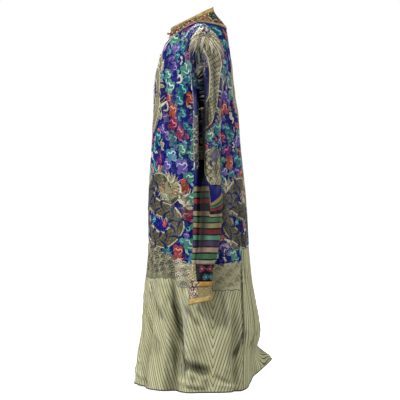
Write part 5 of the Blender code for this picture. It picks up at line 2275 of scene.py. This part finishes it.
@lru_cache(maxsize=None)
def crest_drawing(tint):
    """Rolling crest: two curls inside each other."""
    work = Drawing()
    for i, share in enumerate((1.0, 0.5)):
        turns = [math.radians(turn) for turn in (-10, 40, 90, 140, 190)]
        points = [(share * 0.5 * math.cos(turn), share * 0.5 * math.sin(turn)) for turn in turns]
        work.strip(points, (0.05, 0.17, 0.20, 0.17, 0.05), TINTS[tint], layer=0.0001 * i, step=0.3)
    return work.done(f"crest {tint}")


crests = Laying(whole_body)
for side, _ in SIDES:
    for face in (-1, 1):
        for row in range(CREST_ROWS):
            for i in range(20):
                s = 0.010 + CREST_STEP * (i + 0.5 * (row % 2))
                line = water_line(face, s)
                height = line - 0.004 - CREST_DROP * row
                if s > girth_at(side, face, line)[-1] - 0.008 or height < stripes_line(face, s) + 0.008:
                    continue
                guide = partial(wrap_guide, side, face, s, height, CREST_SIZE[face])
                # paler crests as painted highlight on the ridge before the front fold
                tints = RIDGE_HIGHLIGHT_CRESTS if face < 0 and s < FOLD_EDGE else CREST_TINTS[face]
                crests.lay(crest_drawing(tints[(i + row) % 4]), guide)
crests.piece("wave_crest_embroidery", "band_silk")

# %% [markdown]
# Each wrist band carries two rows of small flowers on its black satin. They stop at the wedge of
# brocade, which covers the front of the band.


# %% Flowers of the wrist bands
@lru_cache(maxsize=None)
def flower_drawing(tint):
    """Five petals round a middle, with two leaves."""
    work = Drawing()
    for turn in (200, 340):
        work.spray((0.0, 0.0), (turn,), 0.62, 0.24, ("olive",), 0.0)
    for i in range(5):
        angle = math.radians(90 + 72 * i)
        work.disc((0.28 * math.cos(angle), 0.28 * math.sin(angle)), 0.20, TINTS[tint], layer=0.0001, sides=8)
    work.disc((0.0, 0.0), 0.13, TINTS["cream"], layer=0.0003, sides=8)
    return work.done(f"flower {tint}")


FLOWER_ROWS = (("crimson", -0.887, 0.0), ("teal", -0.914, 0.5))
FLOWERS_ROUND = 10
FLOWER_SIZE = 0.025
WEDGE_START = 0.06
WEDGE_END = 0.45
for side, word in SIDES:
    laid = Laying(Carrier(f"{word}_flower_band_cloth"))
    for tint, height, shift in FLOWER_ROWS:
        for i in range(FLOWERS_ROUND):
            turn = ((i + shift) / FLOWERS_ROUND) % 1.0
            if WEDGE_START < turn < WEDGE_END + (0.02 if shift else 0.0):
                continue
            place, normal, _ = laid.carrier.nearest(on_side(side, sleeve_section(turn, height)))
            laid.lay(flower_drawing(tint), touch_guide(place, normal, FLOWER_SIZE, 25.0 * (i % 3 - 1)))
    laid.piece(f"{word}_wrist_flower_embroidery", "band_silk")

# %% [markdown]
# The toggles are hard knots, so they stay as they are in the CAD model, in a new material of twisted
# silk cord. Its strands run aslant, because they follow the sum of all three coordinates.


# %% Cord of the toggles
def cord_silk():
    """Twisted silk cord of the loops and knobs."""
    silk = Finish("toggle cord", 0.4, sheen=0.05, gloss=0.3)
    where = silk.solid_place()
    x, y, z = silk.split(where)
    twist = (x + y + z).wave(3200.0)
    wear = silk.noise(where, 300.0, 2.0)
    colour = silk.mix(twist, shade(70, 54, 40), shade(168, 142, 86))
    colour = silk.mix(wear.ease(0.5, 0.8) * 0.5, colour, shade(206, 190, 140))
    return silk.finish(colour, twist + wear * 0.5, 0.0004)


toggle_silk = cord_silk()
toggles = [node for name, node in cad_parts.items() if name.startswith("toggle_")]
for toggle in toggles:
    toggle.data.materials.clear()
    toggle.data.materials.append(toggle_silk)
print("toggle solids", len(toggles))

# %% [markdown]
# The floor is a wide disc of white paper just below the hem. It glows as lit paper does, but throws
# no light on the robe.

# %% Floor
FLOOR_DROP = 0.002
FLOOR_RADIUS = 40.0
floor_mesh = bmesh.new()
bmesh.ops.create_circle(floor_mesh, cap_ends=True, segments=64, radius=FLOOR_RADIUS)
bmesh.ops.translate(floor_mesh, verts=floor_mesh.verts[:], vec=(0.0, 0.0, cad_box[0][2] - FLOOR_DROP))
floor_data = bpy.data.meshes.new("floor")
floor_mesh.to_mesh(floor_data)
floor_mesh.free()
floor = bpy.data.objects.new("floor", floor_data)
scene.collection.objects.link(floor)
paper = Finish("white paper", 0.9, gloss=0.0)
paper.fix({"Base Color": (0.93, 0.93, 0.93, 1.0), "Emission Color": (1.0, 1.0, 1.0, 1.0),
           "Emission Strength": 0.78})
floor_data.materials.append(paper.material)
floor.visible_diffuse = False
floor.visible_glossy = False
print("floor at", round(cad_box[0][2] - FLOOR_DROP, 3))
